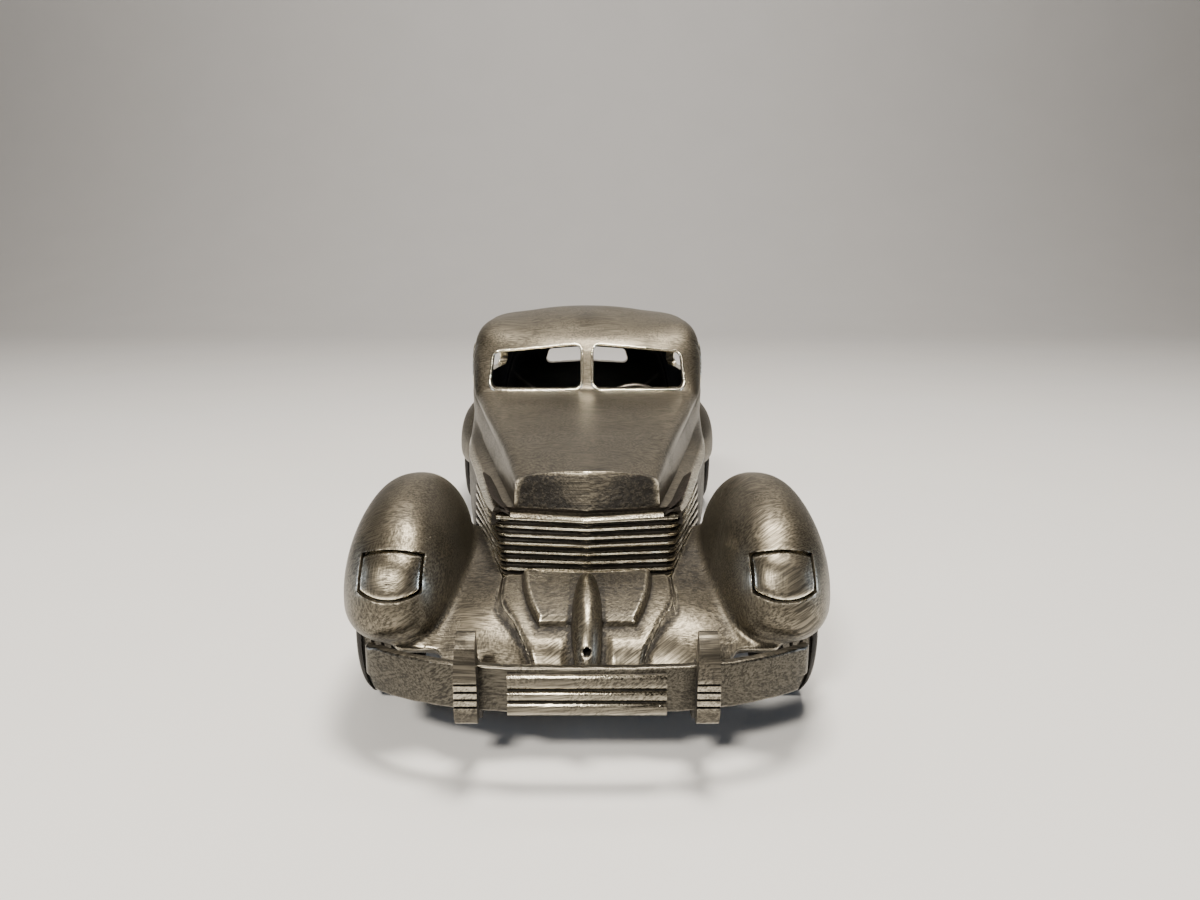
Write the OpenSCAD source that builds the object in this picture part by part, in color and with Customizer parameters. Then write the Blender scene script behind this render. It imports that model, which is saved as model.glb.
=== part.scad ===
// Cast pewter collector car: a 1930s front-wheel-drive sedan with pontoon wings and a louvred nose.
// Millimetres, +Z up, nose towards -Y, the car's left side towards +X, origin on the ground at mid length.

/* [Overall] */
// Distance between the two axles
wheelbase = 73.8; // [61.5:0.1:88.6]
// From the foremost point of the front bumper to the front axle
front_overhang = 19.5; // [18:0.1:23.4]
// From the rear axle to the rearmost point of the rear bumper
rear_overhang = 22.7; // [20:0.1:27.2]
// Width over the wings
width = 44; // [36.6:0.1:52.8]
// Height from the ground to the top of the roof
height = 35; // [32:0.1:42]

/* [Body casting] */
// Wall of the body casting
wall = 1.2; // [0.8:0.1:1.5]
// Gap left between two castings that are fitted together
joint_gap = 0.06; // [0.04:0.01:0.12]
// Diameter of the two screw posts under the bonnet and the tail
post_d = 4; // [3.4:0.1:5]
// Thickness of the bar between the two windscreen openings
windscreen_bar = 1.5; // [1:0.1:2]
// Number of louvre ribs round the nose
louvre_count = 7; // [4:1:8]
// How far each louvre gap is cut in
louvre_depth = 0.45; // [0.2:0.05:0.6]

/* [Wheels] */
// Radius of the tyre
tyre_r = 8.1; // [6.7:0.1:9.8]
// Width of the tyre
tyre_w = 4.4; // [3.6:0.1:4.8]
// Radius of the wheel disc, which is the tyre's inner radius
disc_r = 5.3; // [4.6:0.1:6.2]
// Diameter of the axle rods
axle_d = 2; // [1.6:0.1:2.4]
// Radial running clearance of an axle in its bearings
axle_clearance = 0.06; // [0.03:0.01:0.09]
// Space between the tyre and the wing around it
wheel_space = 0.8; // [0.6:0.1:1.2]
// Wall of the front wing outside the wheel
wing_skin = 0.7; // [0.5:0.1:0.9]
// Number of grooves round the tread
tread_grooves = 4; // [2:1:5]
// Number of vent holes round each wheel disc
vent_holes = 14; // [6:1:16]

/* [Chassis] */
// Thickness of the base plate
plate_t = 1.5; // [1.2:0.1:2]
// Height of the base plate's underside above the ground
plate_z = 3.8; // [3.4:0.1:4.2]
// Diameter of a base screw's shank
screw_d = 1.6; // [1.2:0.1:2]
// Diameter of a base screw's head
screw_head_d = 3; // [2.6:0.1:3.4]

/* [Bumpers] */
// Height of the bumper bar
bar_h = 3.8; // [3:0.1:4.6]
// Thickness of the bumper bar
bar_t = 0.9; // [0.7:0.1:1.1]
// Height of the middle of the bumper bar above the ground
bar_z = 8.2; // [6.8:0.1:9.9]
// Height of an overrider
guard_h = 7.4; // [6:0.1:8.8]
// Width of an overrider
guard_w = 1.8; // [1.4:0.1:2.2]
// Distance between the two overriders, centre to centre
guard_spacing = 18.8; // [15.6:0.1:22.6]
// Width of the ribbed plate in the middle of the front bumper
plate_w = 12.4; // [10:0.1:13.5]

/* [Cabin] */
// Radius of the steering wheel
wheel_rim_r = 4.3; // [3.6:0.1:4.8]
// Thickness of the steering wheel's rim
wheel_rim_d = 0.7; // [0.5:0.1:0.9]
// Width of the two bench seats
seat_w = 22; // [18:0.1:23]

/* [Hidden] */
$fn = 48;

length = front_overhang + wheelbase + rear_overhang;
half_w = width / 2;

// The shape tables below are drawn on a reference car of this size; the driving sizes stretch them.
ref_front = 19.5;
ref_base = 73.8;
ref_rear = 22.7;
ref_half_w = 22;
ref_height = 35;
kx = half_w / ref_half_w;
kz = height / ref_height;

front_axle_y = front_overhang - length / 2;
rear_axle_y = front_axle_y + wheelbase;
axle_z = tyre_r;
tyre_outer_x = half_w - 1.1;
tyre_inner_x = tyre_outer_x - tyre_w;
arch_r = tyre_r + wheel_space;
// The wings rise with the axles and grow with a larger wheel arch than the reference car's
ref_axle_z = 8.1;
ref_arch_r = 8.9;
wing_rise = axle_z - ref_axle_z;
arch_growth = max(1, arch_r / ref_arch_r);
wing_growth = 1 + 1.5 * (arch_growth - 1);
well_inner_x = tyre_inner_x - wheel_space;
plate_top = plate_z + plate_t;
plate_front_y = along(12);
plate_rear_y = along(108);
front_arm = plate_front_y + length / 2;
rear_arm = length / 2 - plate_rear_y;
bar_front = 0.9;
guard_x = guard_spacing / 2;
post_front_y = along(37);
post_rear_y = along(99);
metal = "#8a8378";
dark_metal = "#4c4740";

// ---- Shape helpers -------------------------------------------------------------------------

// Y of a station that is s behind the foremost point of the reference car
function along(s) =
    s < ref_front ? s * front_overhang / ref_front - length / 2
    : s < ref_front + ref_base ? front_axle_y + (s - ref_front) * wheelbase / ref_base
    : rear_axle_y + (s - ref_front - ref_base) * rear_overhang / ref_rear;

function unit(t) = max(0, min(1, t));
function mix(a, b, t) = a + (b - a) * t;
function span_of(s, k, i = 0) = (i >= len(k) - 2 || s < k[i + 1][0]) ? i : span_of(s, k, i + 1);
function rise(k, i, c) =
    let (a = max(0, i - 1), b = min(len(k) - 1, i + 1)) (k[b][c] - k[a][c]) / (k[b][0] - k[a][0]);

// Column c of table k at station s, as a smooth curve through the table's rows
function smooth(s, k, c) =
    let (
        i = span_of(s, k),
        h = k[i + 1][0] - k[i][0],
        t = unit((s - k[i][0]) / h),
        t2 = t * t,
        t3 = t2 * t
    )
    (2 * t3 - 3 * t2 + 1) * k[i][c] + (t3 - 2 * t2 + t) * h * rise(k, i, c)
        + (3 * t2 - 2 * t3) * k[i + 1][c] + (t3 - t2) * h * rise(k, i + 1, c);

// One point of a curve through the points p, at i + t
function through(p, i, t) =
    let (
        a = p[max(0, i - 1)],
        b = p[i],
        c = p[i + 1],
        d = p[min(len(p) - 1, i + 2)]
    )
    0.5 * (2 * b + (c - a) * t + (2 * a - 5 * b + 4 * c - d) * t * t + (3 * b - a - 3 * c + d) * t * t * t);

// A closed skin over rings of points, its ends closed round their middles
module skin(rings) {
    n = len(rings[0]);
    m = len(rings);
    ends = [
        for (r = [rings[0], rings[m - 1]])
            [for (c = [0:2]) (min([for (p = r) p[c]]) + max([for (p = r) p[c]])) / 2]
    ];
    points = concat([for (r = rings) each r], ends);
    sides = [
        for (i = [0:m - 2], j = [0:n - 1])
            let (a = i * n + j, b = i * n + (j + 1) % n)
            each [[a, b, b + n], [a, b + n, a + n]]
    ];
    caps = [
        for (j = [0:n - 1])
            let (k = (j + 1) % n)
            each [[n * m, k, j], [n * m + 1, n * (m - 1) + j, n * (m - 1) + k]]
    ];
    polyhedron(points = points, faces = concat(sides, caps), convexity = 8);
}

// One casting, taken whole with its blended surfaces
module casting() {
    resize([0, 0, 0]) children();
}

module mirrored(side) {
    if (side < 0) mirror([1, 0, 0]) children();
    else children();
}

// A flat outline in the X-Z plane, pushed along Y from y0 to y1
module front_view(y0, y1) {
    translate([0, y1, 0]) rotate([90, 0, 0]) linear_extrude(y1 - y0) children();
}

// A flat outline in the Y-Z plane, pushed along X from x0 to x1
module side_view(x0, x1) {
    translate([x0, 0, 0]) rotate([90, 0, 90]) linear_extrude(x1 - x0) children();
}

module rounded(corners, r) {
    hull() for (c = corners) translate(c) circle(r, $fn = 20);
}

// ---- Body casting --------------------------------------------------------------------------

// Long lines of the body, sill to roof, as station, half width and height rows
body_lines = [
    [   // sill
        [16.5, 7.2, 11], [26, 10, 10.8], [32, 11.6, 6.6], [36, 12.4, 5.4], [50, 13.2, 5.4],
        [75, 13.8, 5.4], [90, 13.2, 5.4], [100, 11.8, 5.6], [106, 9.6, 6.2], [110, 7.4, 7.2],
        [112.3, 4.6, 9.2], [113, 2.2, 10.8]
    ],
    [   // lower side
        [16.5, 7.55, 12.6], [22, 9.3, 12.6], [30, 11.6, 12], [36, 13, 11.4], [50, 14.9, 11],
        [75, 15.4, 11], [90, 14.6, 11], [100, 12.9, 11], [106, 10.8, 11], [110, 8.6, 11.2],
        [112.3, 5.2, 11.6], [113, 2.6, 11.8]
    ],
    [   // shoulder
        [17.5, 8.35, 17.7], [22, 9.9, 17.75], [35, 12.6, 17.9], [46, 14.7, 18.3], [60, 15.6, 19],
        [75, 15.7, 19], [90, 14.9, 18.2], [100, 13, 16.8], [106, 10.6, 15.6], [110, 8.2, 14.6],
        [112.3, 4.8, 13.6], [113, 2.4, 12.9]
    ],
    [   // inner edge of the shelf beside the bonnet
        [18.4, 6.9, 18.25], [34, 10.2, 18.6], [46, 13, 19.8], [54, 14.9, 21.6], [64, 15.4, 22.2],
        [75, 15.3, 22.2], [86, 14.2, 21.2], [94, 12.6, 19.6], [100, 11, 18.4], [106, 8.6, 17],
        [110, 6.2, 15.8], [112.3, 3.6, 14.2], [113, 1.8, 13.2]
    ],
    [   // belt
        [18.3, 6.8, 19.8], [34, 9.95, 21.2], [46, 12.7, 22.5], [54, 15, 24.4], [64, 15.4, 24.8],
        [75, 15.2, 24.8], [84, 13.8, 24.2], [90, 12.2, 22.8], [96, 10.4, 20.8], [100, 9.2, 19.6],
        [106, 6.8, 17.8], [110, 4.8, 16.4], [112.3, 2.7, 14.5], [113, 1.3, 13.4]
    ],
    [   // bonnet edge, windscreen post and roof rail
        [18.1, 6.35, 21.15], [27, 7.95, 22.4], [34, 9.6, 23.1], [43, 11.9, 23.9], [50, 13.1, 24.7],
        [51.5, 13.4, 25.3], [54.5, 14, 28.6], [57, 14.4, 31], [60, 14.5, 32.2], [66, 14.4, 32.6],
        [74, 14, 32.3], [80, 12.9, 30.2], [85, 11.4, 27.4], [90, 9.6, 24.3], [96, 7.6, 21.8],
        [100, 6.6, 20.4], [106, 4.8, 18.3], [110, 3.4, 16.7], [112.3, 1.9, 14.7], [113, 0.9, 13.5]
    ],
    [   // halfway in
        [18, 3.4, 21.75], [27, 4.2, 22.9], [34, 5, 23.6], [43, 6.3, 24.5], [50, 7, 25.1],
        [51, 7.1, 25.9], [54, 7.4, 30], [56.3, 7.5, 31.7], [60, 7.6, 33], [66, 7.6, 34.2],
        [70, 7.5, 34.45], [76, 7.2, 33.9], [82, 6.6, 31.1], [88, 5.7, 26.9], [92, 5.1, 24.2],
        [96, 4.5, 22.5], [101, 3.8, 20.7], [106, 2.9, 18.9], [110, 2, 17], [112.3, 1.1, 14.8],
        [113, 0.5, 13.6]
    ],
    [   // middle
        [18, 0, 21.9], [27, 0, 23.1], [34, 0, 23.8], [43, 0, 24.7], [50, 0, 25.2], [50.8, 0, 26],
        [54, 0, 30.5], [56, 0, 32], [60, 0, 33.8], [66, 0, 34.8], [70, 0, 35], [76, 0, 34.45],
        [82, 0, 31.6], [88, 0, 27.4], [92, 0, 24.7], [96, 0, 22.8], [101, 0, 21], [106, 0, 19.2],
        [110, 0, 17.3], [112.3, 0, 14.9], [113, 0, 13.7]
    ]
];
// How far the front end of each line stands ahead of station 18, and its middle ahead of its edge
nose_lead = [1.5, 1.5, 0.5, -0.4, -0.3, -0.1, 0, 0];
// Pieces each line-to-line stretch of a ring is split into
ring_steps = [2, 3, 1, 1, 2, 3, 3];
nose_station = 18;
nose_end = 26;
outer_stations = [
    18, 19.2, 21, 23.5, 26, 29, 32, 35, 38, 42, 46, 48.5, 50, 50.8, 51.7, 52.7, 53.8, 55, 56.5, 58, 60,
    63, 66, 70, 74, 77, 79.5, 82, 84.5, 87, 89.5, 92, 95, 98.5, 102, 105, 108, 110, 111.5, 112.5, 113
];
inner_stations = [
    21, 25, 30, 36, 42, 47, 50.8, 52.2, 53.6, 55, 56.6, 58.5, 61, 65, 70, 74, 77.5, 80.5, 83.5, 86.5, 89.5,
    92.5, 96, 100, 104
];

sill_z = plate_top + joint_gap;

// Height on the car of a height drawn on the reference car
function lift(z) = sill_z + (z - 5.4) * (height - sill_z) / (ref_height - 5.4);

// Corner points of the half ring at station s, sill to middle
function half_ring(s) = [for (k = body_lines) [smooth(s, k, 1) * kx, lift(smooth(s, k, 2))]];

// Points of the half ring at station s, split between its corners
function split_ring(c) =
    concat(
        [[0, c[0][1]]],
        [for (i = [0:6], j = [0:ring_steps[i] - 1]) bend(c, i, j / ring_steps[i])],
        [c[7]]
    );
// Between corners: straight across the shelf, bowed elsewhere
function bend(c, i, t) =
    i < 2 ? through([c[0], c[1], c[2]], i, t)
    : i == 2 ? mix(c[2], c[3], t)
    : i == 3 ? mix(c[3], c[4], t)
    : through([c[4], c[5], c[6], c[7], [-c[6][0], c[6][1]]], i - 4, t);

// A half ring moved outwards by g
function grown(p, g) =
    [
        for (i = [0:len(p) - 1])
            let (
                a = p[max(0, i - 1)],
                b = p[min(len(p) - 1, i + 1)],
                d = i == 0 ? [1, 0] : i == len(p) - 1 ? [-1, 0] : (b - a) / max(0.001, norm(b - a))
            )
            [max(0, p[i][0] + g * d[1]), p[i][1] - g * d[0]]
    ];

// Which line a half-ring point belongs to, for its lead at the nose
ring_line = concat([0], [for (i = [0:6], j = [0:ring_steps[i] - 1]) i + j / ring_steps[i]], [7]);
function lead(l) = let (i = min(6, floor(l))) mix(nose_lead[i], nose_lead[i + 1], l - i);
function fade(s) = unit((nose_end - s) / (nose_end - nose_station));

// Full ring at station s, moved outwards by g, its bottom lowered to open_z when the ring is a hollow
function body_ring(s, g, open_z) =
    let (
        half = grown(split_ring(half_ring(s)), g),
        right = [
            for (i = [0:len(half) - 1])
                [
                    half[i][0],
                    along(s - (lead(ring_line[i]) + g) * fade(s)),
                    i < 2 && open_z < 1 ? open_z : half[i][1]
                ]
        ]
    )
    concat(right, [for (i = [len(right) - 2:-1:1]) [-right[i][0], right[i][1], right[i][2]]]);

// The V of the nose: the middle of the front end, one point for each half-ring point
function nose_spine(ring, half_count, g) =
    [
        for (i = [0:half_count - 1])
            let (
                l = ring_line[i],
                ahead = l <= 2 ? 2.2 : l <= 3 ? mix(2.2, 1, l - 2) : mix(1, 0, (l - 3) / 4)
            )
            [0, along(nose_station - ahead - g), ring[i][2]]
    ];

// The body's outside, moved outwards by g
module body_form(g = 0) {
    rings = [for (s = outer_stations) body_ring(s, g, 5)];
    n = len(rings[0]);
    m = len(rings);
    h = n / 2 + 1;
    spine = nose_spine(rings[0], h, g);
    tail = [0, along(113) + g, lift(12.4)];
    points = concat([for (r = rings) each r], spine, [tail]);
    first = n * m;
    faces = concat(
        [
            for (i = [0:m - 2], j = [0:n - 1])
                let (a = i * n + j, b = i * n + (j + 1) % n)
                each [[a, b, a + n], [b, b + n, a + n]]
        ],
        [
            for (i = [0:h - 2])
                let (r = i, r2 = i + 1, l = (n - i) % n, l2 = n - i - 1, c = first + i)
                each [[r, c + 1, r2], [r, c, c + 1], [l2, c, l], [l2, c + 1, c]]
        ],
        [for (j = [0:n - 1]) [first + h, (m - 1) * n + j, (m - 1) * n + (j + 1) % n]]
    );
    polyhedron(points = points, faces = faces, convexity = 10);
}

// The hollow inside the body, open underneath
module body_hollow() {
    skin([for (s = inner_stations) body_ring(s, -wall, 0.5)]);
}

// Louvre gaps round the nose and along the bonnet sides, cut louvre_depth deep
module louvre_gaps() {
    low = lift(12.2);
    pitch = (lift(17.7) - low) / louvre_count;
    difference() {
        for (i = [0:louvre_count - 1])
            translate([-half_w, along(10), low + pitch * i])
                cube([width, along(34) - along(10), pitch * 0.5]);
        body_form(-louvre_depth);
    }
}

module body_windows() {
    for (side = [-1, 1])
        mirrored(side) {
            // windscreen pane
            front_view(along(48), along(61))
                rounded([
                    [windscreen_bar / 2 + 0.9, lift(26.2)], [11.6 * kx, lift(26.1)],
                    [11.4 * kx, lift(28.8)], [windscreen_bar / 2 + 0.9, lift(29.7)]
                ], 0.8);
            // rear window pane
            front_view(along(82), along(100))
                rounded([
                    [1.4 * kx, lift(25.6)], [6.1 * kx, lift(25.4)],
                    [5.7 * kx, lift(26.6)], [1.4 * kx, lift(26.9)]
                ], 0.7);
        }
    // front and rear side windows, both sides at once
    side_view(-half_w, half_w) {
        rounded([
            [along(58.3), lift(26.2)], [along(68.2), lift(26.2)],
            [along(68.2), lift(29.2)], [along(59.6), lift(29.2)]
        ], 0.9);
        rounded([
            [along(72.3), lift(26.2)], [along(80.2), lift(26.2)],
            [along(77.6), lift(29.2)], [along(72.3), lift(29.2)]
        ], 0.9);
    }
}

module body_shell() color(metal) casting() {
    difference() {
        body_form();
        body_hollow();
        louvre_gaps();
        body_windows();
        // slots that let the rear axle up into the casting
        translate([-half_w, rear_axle_y - axle_d / 2 - 0.6, 0])
            cube([width, axle_d + 1.2, axle_z + axle_d / 2 + 0.6]);
        bearing(front_axle_y, 8.6 * kx, joint_gap);
        bearing(rear_axle_y, 9.2 * kx, joint_gap);
    }
    body_post(post_front_y, lift(23.4));
    body_post(post_rear_y, lift(20.7));
}

// A screw post under the body's top
module body_post(y, top) {
    translate([0, y, plate_top]) difference() {
        cylinder(h = top - plate_top, d = post_d);
        translate([0, 0, -0.5]) cylinder(h = 8.5, d = screw_d + 0.02);
    }
}

// ---- Front wings ---------------------------------------------------------------------------

// Station, half width inwards, half width outwards, height above and depth below the wing's middle line
front_wing_rows = [
    [5.8, 0.9, 0.9, 1.1, 0.7], [6.3, 2.1, 2.2, 2.8, 1.6], [7.2, 3.1, 3.3, 4.4, 2.3],
    [8.6, 4.0, 4.2, 5.8, 2.9], [11, 4.9, 5.1, 7.6, 3.6], [15, 5.4, 5.7, 9, 4.2], [20, 5.6, 5.91, 9.6, 4.7],
    [24, 5.4, 5.86, 8.9, 4.9], [28, 4.7, 5.3, 6.9, 4.6], [32, 3.4, 4, 4.3, 3.6], [35.5, 1.7, 2, 1.9, 2],
    [37, 0.6, 0.7, 0.6, 0.8]
];
front_wing_x = half_w - 5.7 * kx;
front_wing_z = 11.8 + wing_rise;
front_wing_stations = [
    5.8, 6.0, 6.3, 6.7, 7.3, 8.1, 9.2, 10.6, 12.4, 14.5, 17, 20, 22.5, 25, 27.5, 30, 32.5, 34.5, 36, 37
];

// Egg-shaped ring about [x, z], wider or taller on each of its four sides
function egg_ring(x, z, y, inward, outward, up, down, count = 32) =
    [
        for (i = [0:count - 1])
            let (
                a = 360 * i / count,
                c = cos(a),
                s = sin(a),
                w = c > 0 ? outward : inward,
                h = s > 0 ? up : down
            )
            [x + w * sign(c) * pow(abs(c), 0.9), y, lift(z + h * sign(s) * pow(abs(s), 0.9))]
    ];

module front_wing_form() {
    k = front_wing_rows;
    skin([
        for (s = front_wing_stations)
            let (back = max(0, s - ref_front) * (arch_growth - 1))
            egg_ring(front_wing_x, front_wing_z, along(s + back), smooth(s, k, 1) * kx,
                smooth(s, k, 2) * kx, smooth(s, k, 3) * wing_growth, smooth(s, k, 4))
    ]);
}

// Outer line of the apron between the wings, as station and height
apron_line = [[17.2, 12.4], [13, 12], [9.6, 11.1], [7.2, 9.7], [5.7, 7.9], [5.4, 6.3]];
apron_steps = 4;
apron_t = 1.2;

// Apron section in the Y-Z plane, t thick, its outside moved outwards by g
module apron_section(t = apron_t, g = 0) {
    outer = [
        for (i = [0:len(apron_line) - 2], j = [0:apron_steps - 1]) through(apron_line, i, j / apron_steps),
        apron_line[len(apron_line) - 1]
    ];
    n = len(outer);
    function normal(i) =
        let (d = outer[min(n - 1, i + 1)] - outer[max(0, i - 1)], u = d / norm(d)) [u[1], -u[0]];
    polygon(concat(
        [for (i = [0:n - 1]) let (p = outer[i] + g * normal(i)) [along(p[0]), lift(p[1])]],
        [for (i = [n - 1:-1:0]) let (p = outer[i] - t * normal(i)) [along(p[0]), lift(p[1])]]
    ));
}

// Outline of the gearbox cover from the front, moved outwards by g; its sides are the seams in the apron
module cover_outline(g = 0) {
    right = [[4.3, 5], [4.4, 7], [5, 9], [6.3, 10.6], [7.7, 11.6], [8.2, 14]];
    polygon(concat(
        [for (p = right) [p[0] * kx + g, lift(p[1])]],
        [for (i = [len(right) - 1:-1:0]) [-right[i][0] * kx - g, lift(right[i][1])]]
    ));
}

// Outline of the headlamp cover from the front, on the left wing, moved inwards by g
module lamp_outline(g = 0) {
    x = front_wing_x + 0.15 * kx;
    w = 2.7 * kx - g;
    arch = 0.55;
    half_h = 1.85 - g;
    z = 15.4 + wing_rise;
    top = [for (i = [0:8]) let (u = i / 4 - 1) [x + w * u, lift(z) + half_h - arch * u * u]];
    low = [for (i = [0:8]) let (u = 1 - i / 4) [x + w * u, lift(z) - half_h + arch * u * u]];
    polygon(concat(top, low));
}
lamp_floor = 10.4;
lamp_groove = 0.22;

// Room for a wheel from inner_x out to outer_x, tapering over its last part to leave a strong lip,
// open to the side over a circle of radius mouth_r
module wheel_well(y, inner_x, outer_x, mouth_r, taper = 0) {
    translate([inner_x, y, axle_z]) rotate([0, 90, 0]) {
        cylinder(h = outer_x - inner_x - 1.7 * taper, r = arch_r, $fn = 64);
        translate([0, 0, outer_x - inner_x - 1.7 * taper - 0.01])
            cylinder(h = 1.7 * taper + 0.01, r1 = arch_r, r2 = arch_r - taper, $fn = 64);
        cylinder(h = half_w - inner_x + 1, r = mouth_r, $fn = 64);
    }
}

module front_wing() casting() difference() {
    union() {
        front_wing_form();
        difference() {
            side_view(0, front_wing_x) apron_section();
            // the apron's foot stops short of the wing, so the tyre shows beside it
            translate([12.6 * kx, along(0), 0]) cube([half_w, 60, lift(8.9)]);
        }
    }
    wheel_well(front_axle_y, well_inner_x, half_w - wing_skin, tyre_r * 0.93, 1);
    // room under the wing's inner side for the axle and its bearing
    translate([0, front_axle_y - arch_r * 0.44, 0])
        cube([well_inner_x + 0.1, along(37) - front_axle_y + arch_r, axle_z + axle_d / 2 + 1.3]);
    translate([-1, along(17.3), 0]) cube([9.5 * kx + 1, 60, 60]);
    body_form(joint_gap);
    front_view(along(0), along(18)) cover_outline(joint_gap);
    front_view(along(0), along(lamp_floor)) lamp_outline(-lamp_groove);
    at_front() bumper_bar(joint_gap);
}

module front_wing_left() color(metal) front_wing();
module front_wing_right() color(metal) mirror([1, 0, 0]) front_wing();

module headlamp_cover() casting() intersection() {
    front_wing_form();
    front_view(along(0), along(lamp_floor)) lamp_outline();
}

module headlamp_cover_left() color(metal) headlamp_cover();
module headlamp_cover_right() color(metal) mirror([1, 0, 0]) headlamp_cover();

// Raised upper panel of the gearbox cover, one side
module cover_step() {
    front_view(along(5), along(18))
        polygon([
            [1.75 * kx, lift(10.6)], [4 * kx, lift(10.6)], [4.6 * kx, lift(11.1)], [6.8 * kx, lift(13)],
            [1.75 * kx, lift(13)]
        ]);
}

module gearbox_cover() color(metal) casting() difference() {
    union() {
        intersection() {
            side_view(-10 * kx, 10 * kx) apron_section();
            front_view(along(0), along(18)) cover_outline();
        }
        for (side = [-1, 1])
            mirrored(side) intersection() {
                side_view(0, 8 * kx) apron_section(apron_t, 0.45);
                front_view(along(0), along(18)) cover_outline(-0.9);
                cover_step();
            }
    }
    body_form(joint_gap);
}

// Pointed spine down the middle of the gearbox cover, with the crank hole near its foot
module prow_fairing() color(metal) casting() difference() {
    skin([
        for (p = [
            [4.9, 6.6, 1.3, 1.1], [5.1, 7.4, 1.45, 1.3], [6, 8.9, 1.55, 1.5], [7.6, 10.4, 1.6, 1.6],
            [9.6, 11.6, 1.6, 1.5], [12, 12.4, 1.5, 1.2], [13.8, 12.7, 1.2, 0.8], [14.6, 12.6, 0.9, 0.4]
        ])
            [
                for (i = [0:23])
                    let (a = 15 * i, u = cos(a) * p[2] * kx, v = sin(a) * p[3])
                    [u, along(p[0] - v * 0.6), lift(p[1] + v * 0.8)]
            ]
    ]);
    body_form(joint_gap);
    side_view(-3 * kx, 3 * kx) apron_section(9);
    front_view(along(-1), along(9.8)) translate([0, lift(9.6)]) circle(0.35, $fn = 16);
}

// ---- Rear wings ----------------------------------------------------------------------------

// Station, outer half width, top and bottom
rear_wing_rows = [
    [76.5, 15.8, 13.4, 9.6], [78, 17.4, 15.2, 8], [81, 19.5, 17.4, 6.9], [85, 21.2, 19.2, 6.4],
    [89, 22.1, 20.2, 6.3], [93, 22.4, 20.4, 6.3], [97, 22.2, 19.9, 6.3], [101, 21.3, 18.3, 6.5],
    [105, 19.5, 15.9, 7], [108, 17.1, 13.4, 7.8], [109.6, 15.1, 11.6, 8.8]
];
rear_wing_x = 12.5;
ref_rear_wing_z = 10.6;
rear_wing_z = ref_rear_wing_z + wing_rise;
rear_wing_stations = [76.5, 77.2, 78.2, 79.8, 82, 85, 88.5, 92, 95.5, 99, 102, 104.5, 106.8, 108.5, 109.6];

module rear_wing() casting() difference() {
    skin([
        for (s = rear_wing_stations)
            let (k = rear_wing_rows)
            egg_ring(rear_wing_x * kx, rear_wing_z, along(s), 3 * kx, (smooth(s, k, 1) - rear_wing_x) * kx,
                (smooth(s, k, 2) - ref_rear_wing_z) * wing_growth, ref_rear_wing_z - smooth(s, k, 3))
    ]);
    wheel_well(rear_axle_y, rear_wing_x * kx, half_w + 1, arch_r);
    body_form(joint_gap);
    translate([-half_w, along(70), 0]) cube([half_w + 6 * kx, along(115) - along(70), 60]);
}

module rear_wing_left() color(metal) rear_wing();
module rear_wing_right() color(metal) mirror([1, 0, 0]) rear_wing();

// ---- Bumpers -------------------------------------------------------------------------------

bar_half = 18.4 * kx;
bar_curl = 4.2;

// Curve of the bar's front face seen from above, from one end to the other, moved back by t
function bar_curve(t) =
    [
        for (i = [-16:16])
            let (
                u = i / 16,
                x = bar_half * u,
                slope = bar_curl * 3 * u * abs(u) / bar_half,
                n = [slope, -1] / norm([slope, 1])
            )
            [x - t * n[0], bar_front + bar_curl * pow(abs(u), 3) - t * n[1]]
    ];

// Plan of the bar: its foremost point lies bar_front behind y = 0, its ends curl back
module bar_plan(g = 0) {
    front = bar_curve(-g);
    back = bar_curve(bar_t + g);
    curl = [
        for (p = [[0.1 + g, 0.1], [0.5 + g, 0.7], [0.55 + g, 1.2 + g], [-0.35 - g, 1.3 + g], [-0.45 - g, 1]])
            [bar_half + p[0], bar_front + bar_curl + p[1]]
    ];
    n = len(curl) - 1;
    polygon(concat(
        front,
        curl,
        [for (i = [len(back) - 1:-1:0]) back[i]],
        [for (i = [n:-1:0]) [-curl[i][0], curl[i][1]]]
    ));
}

// The bar, moved outwards by g
module bumper_bar(g = 0) {
    translate([0, 0, bar_z - bar_h / 2 - g]) linear_extrude(bar_h + 2 * g) bar_plan(g);
}

// Overrider standing on the front of a bar
module overrider() {
    low = bar_z + 0.9 - guard_h / 2;
    difference() {
        translate([guard_x - guard_w / 2, 0, low]) rotate([90, 0, 90]) linear_extrude(guard_w)
            polygon([
                [1.5, 0], [0.9, 0.05], [0.35, 0.4], [0.1, 1], [0, 1.9], [0, guard_h - 3],
                [0.12, guard_h - 1.9], [0.45, guard_h - 0.9], [0.9, guard_h - 0.3], [1.5, guard_h],
                [2.4, guard_h], [2.6, 3.2], [2.4, 0]
            ]);
        for (i = [0:3])
            translate([guard_x - guard_w, -1, low + guard_h * 0.24 + i * 0.62])
                cube([guard_w * 2, 1.28, 0.2]);
        bumper_bar();
        translate([0, bar_front + 0.55, bar_z - bar_h / 2]) cube([half_w, 3, bar_h]);
        translate([0, 1.9, 0]) cube([half_w, 3, 20]);
    }
}

// Iron from the base plate's end to the back of a bar, arm_end being the plate's end
module bumper_iron(arm_end) {
    difference() {
        translate([guard_x - 0.8, 0, 0]) rotate([90, 0, 90]) linear_extrude(1.6)
            polygon([
                [1.95, bar_z + 1.5], [1.95, plate_z + 0.4], [arm_end, plate_z + 0.4],
                [arm_end, plate_z + 1.3], [3.6, plate_z + 1.3], [3.3, plate_z + 1.6], [3.3, bar_z + 1.5]
            ]);
        bumper_bar();
        translate([0, -1, 0]) cube([half_w, 1 + bar_front + bar_t * 0.4, 20]);
    }
}

module at_front() {
    translate([0, -length / 2, 0]) children();
}
module at_rear() {
    translate([0, length / 2, 0]) mirror([0, 1, 0]) children();
}
module front_bumper_bar() color(dark_metal) at_front() bumper_bar();

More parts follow.
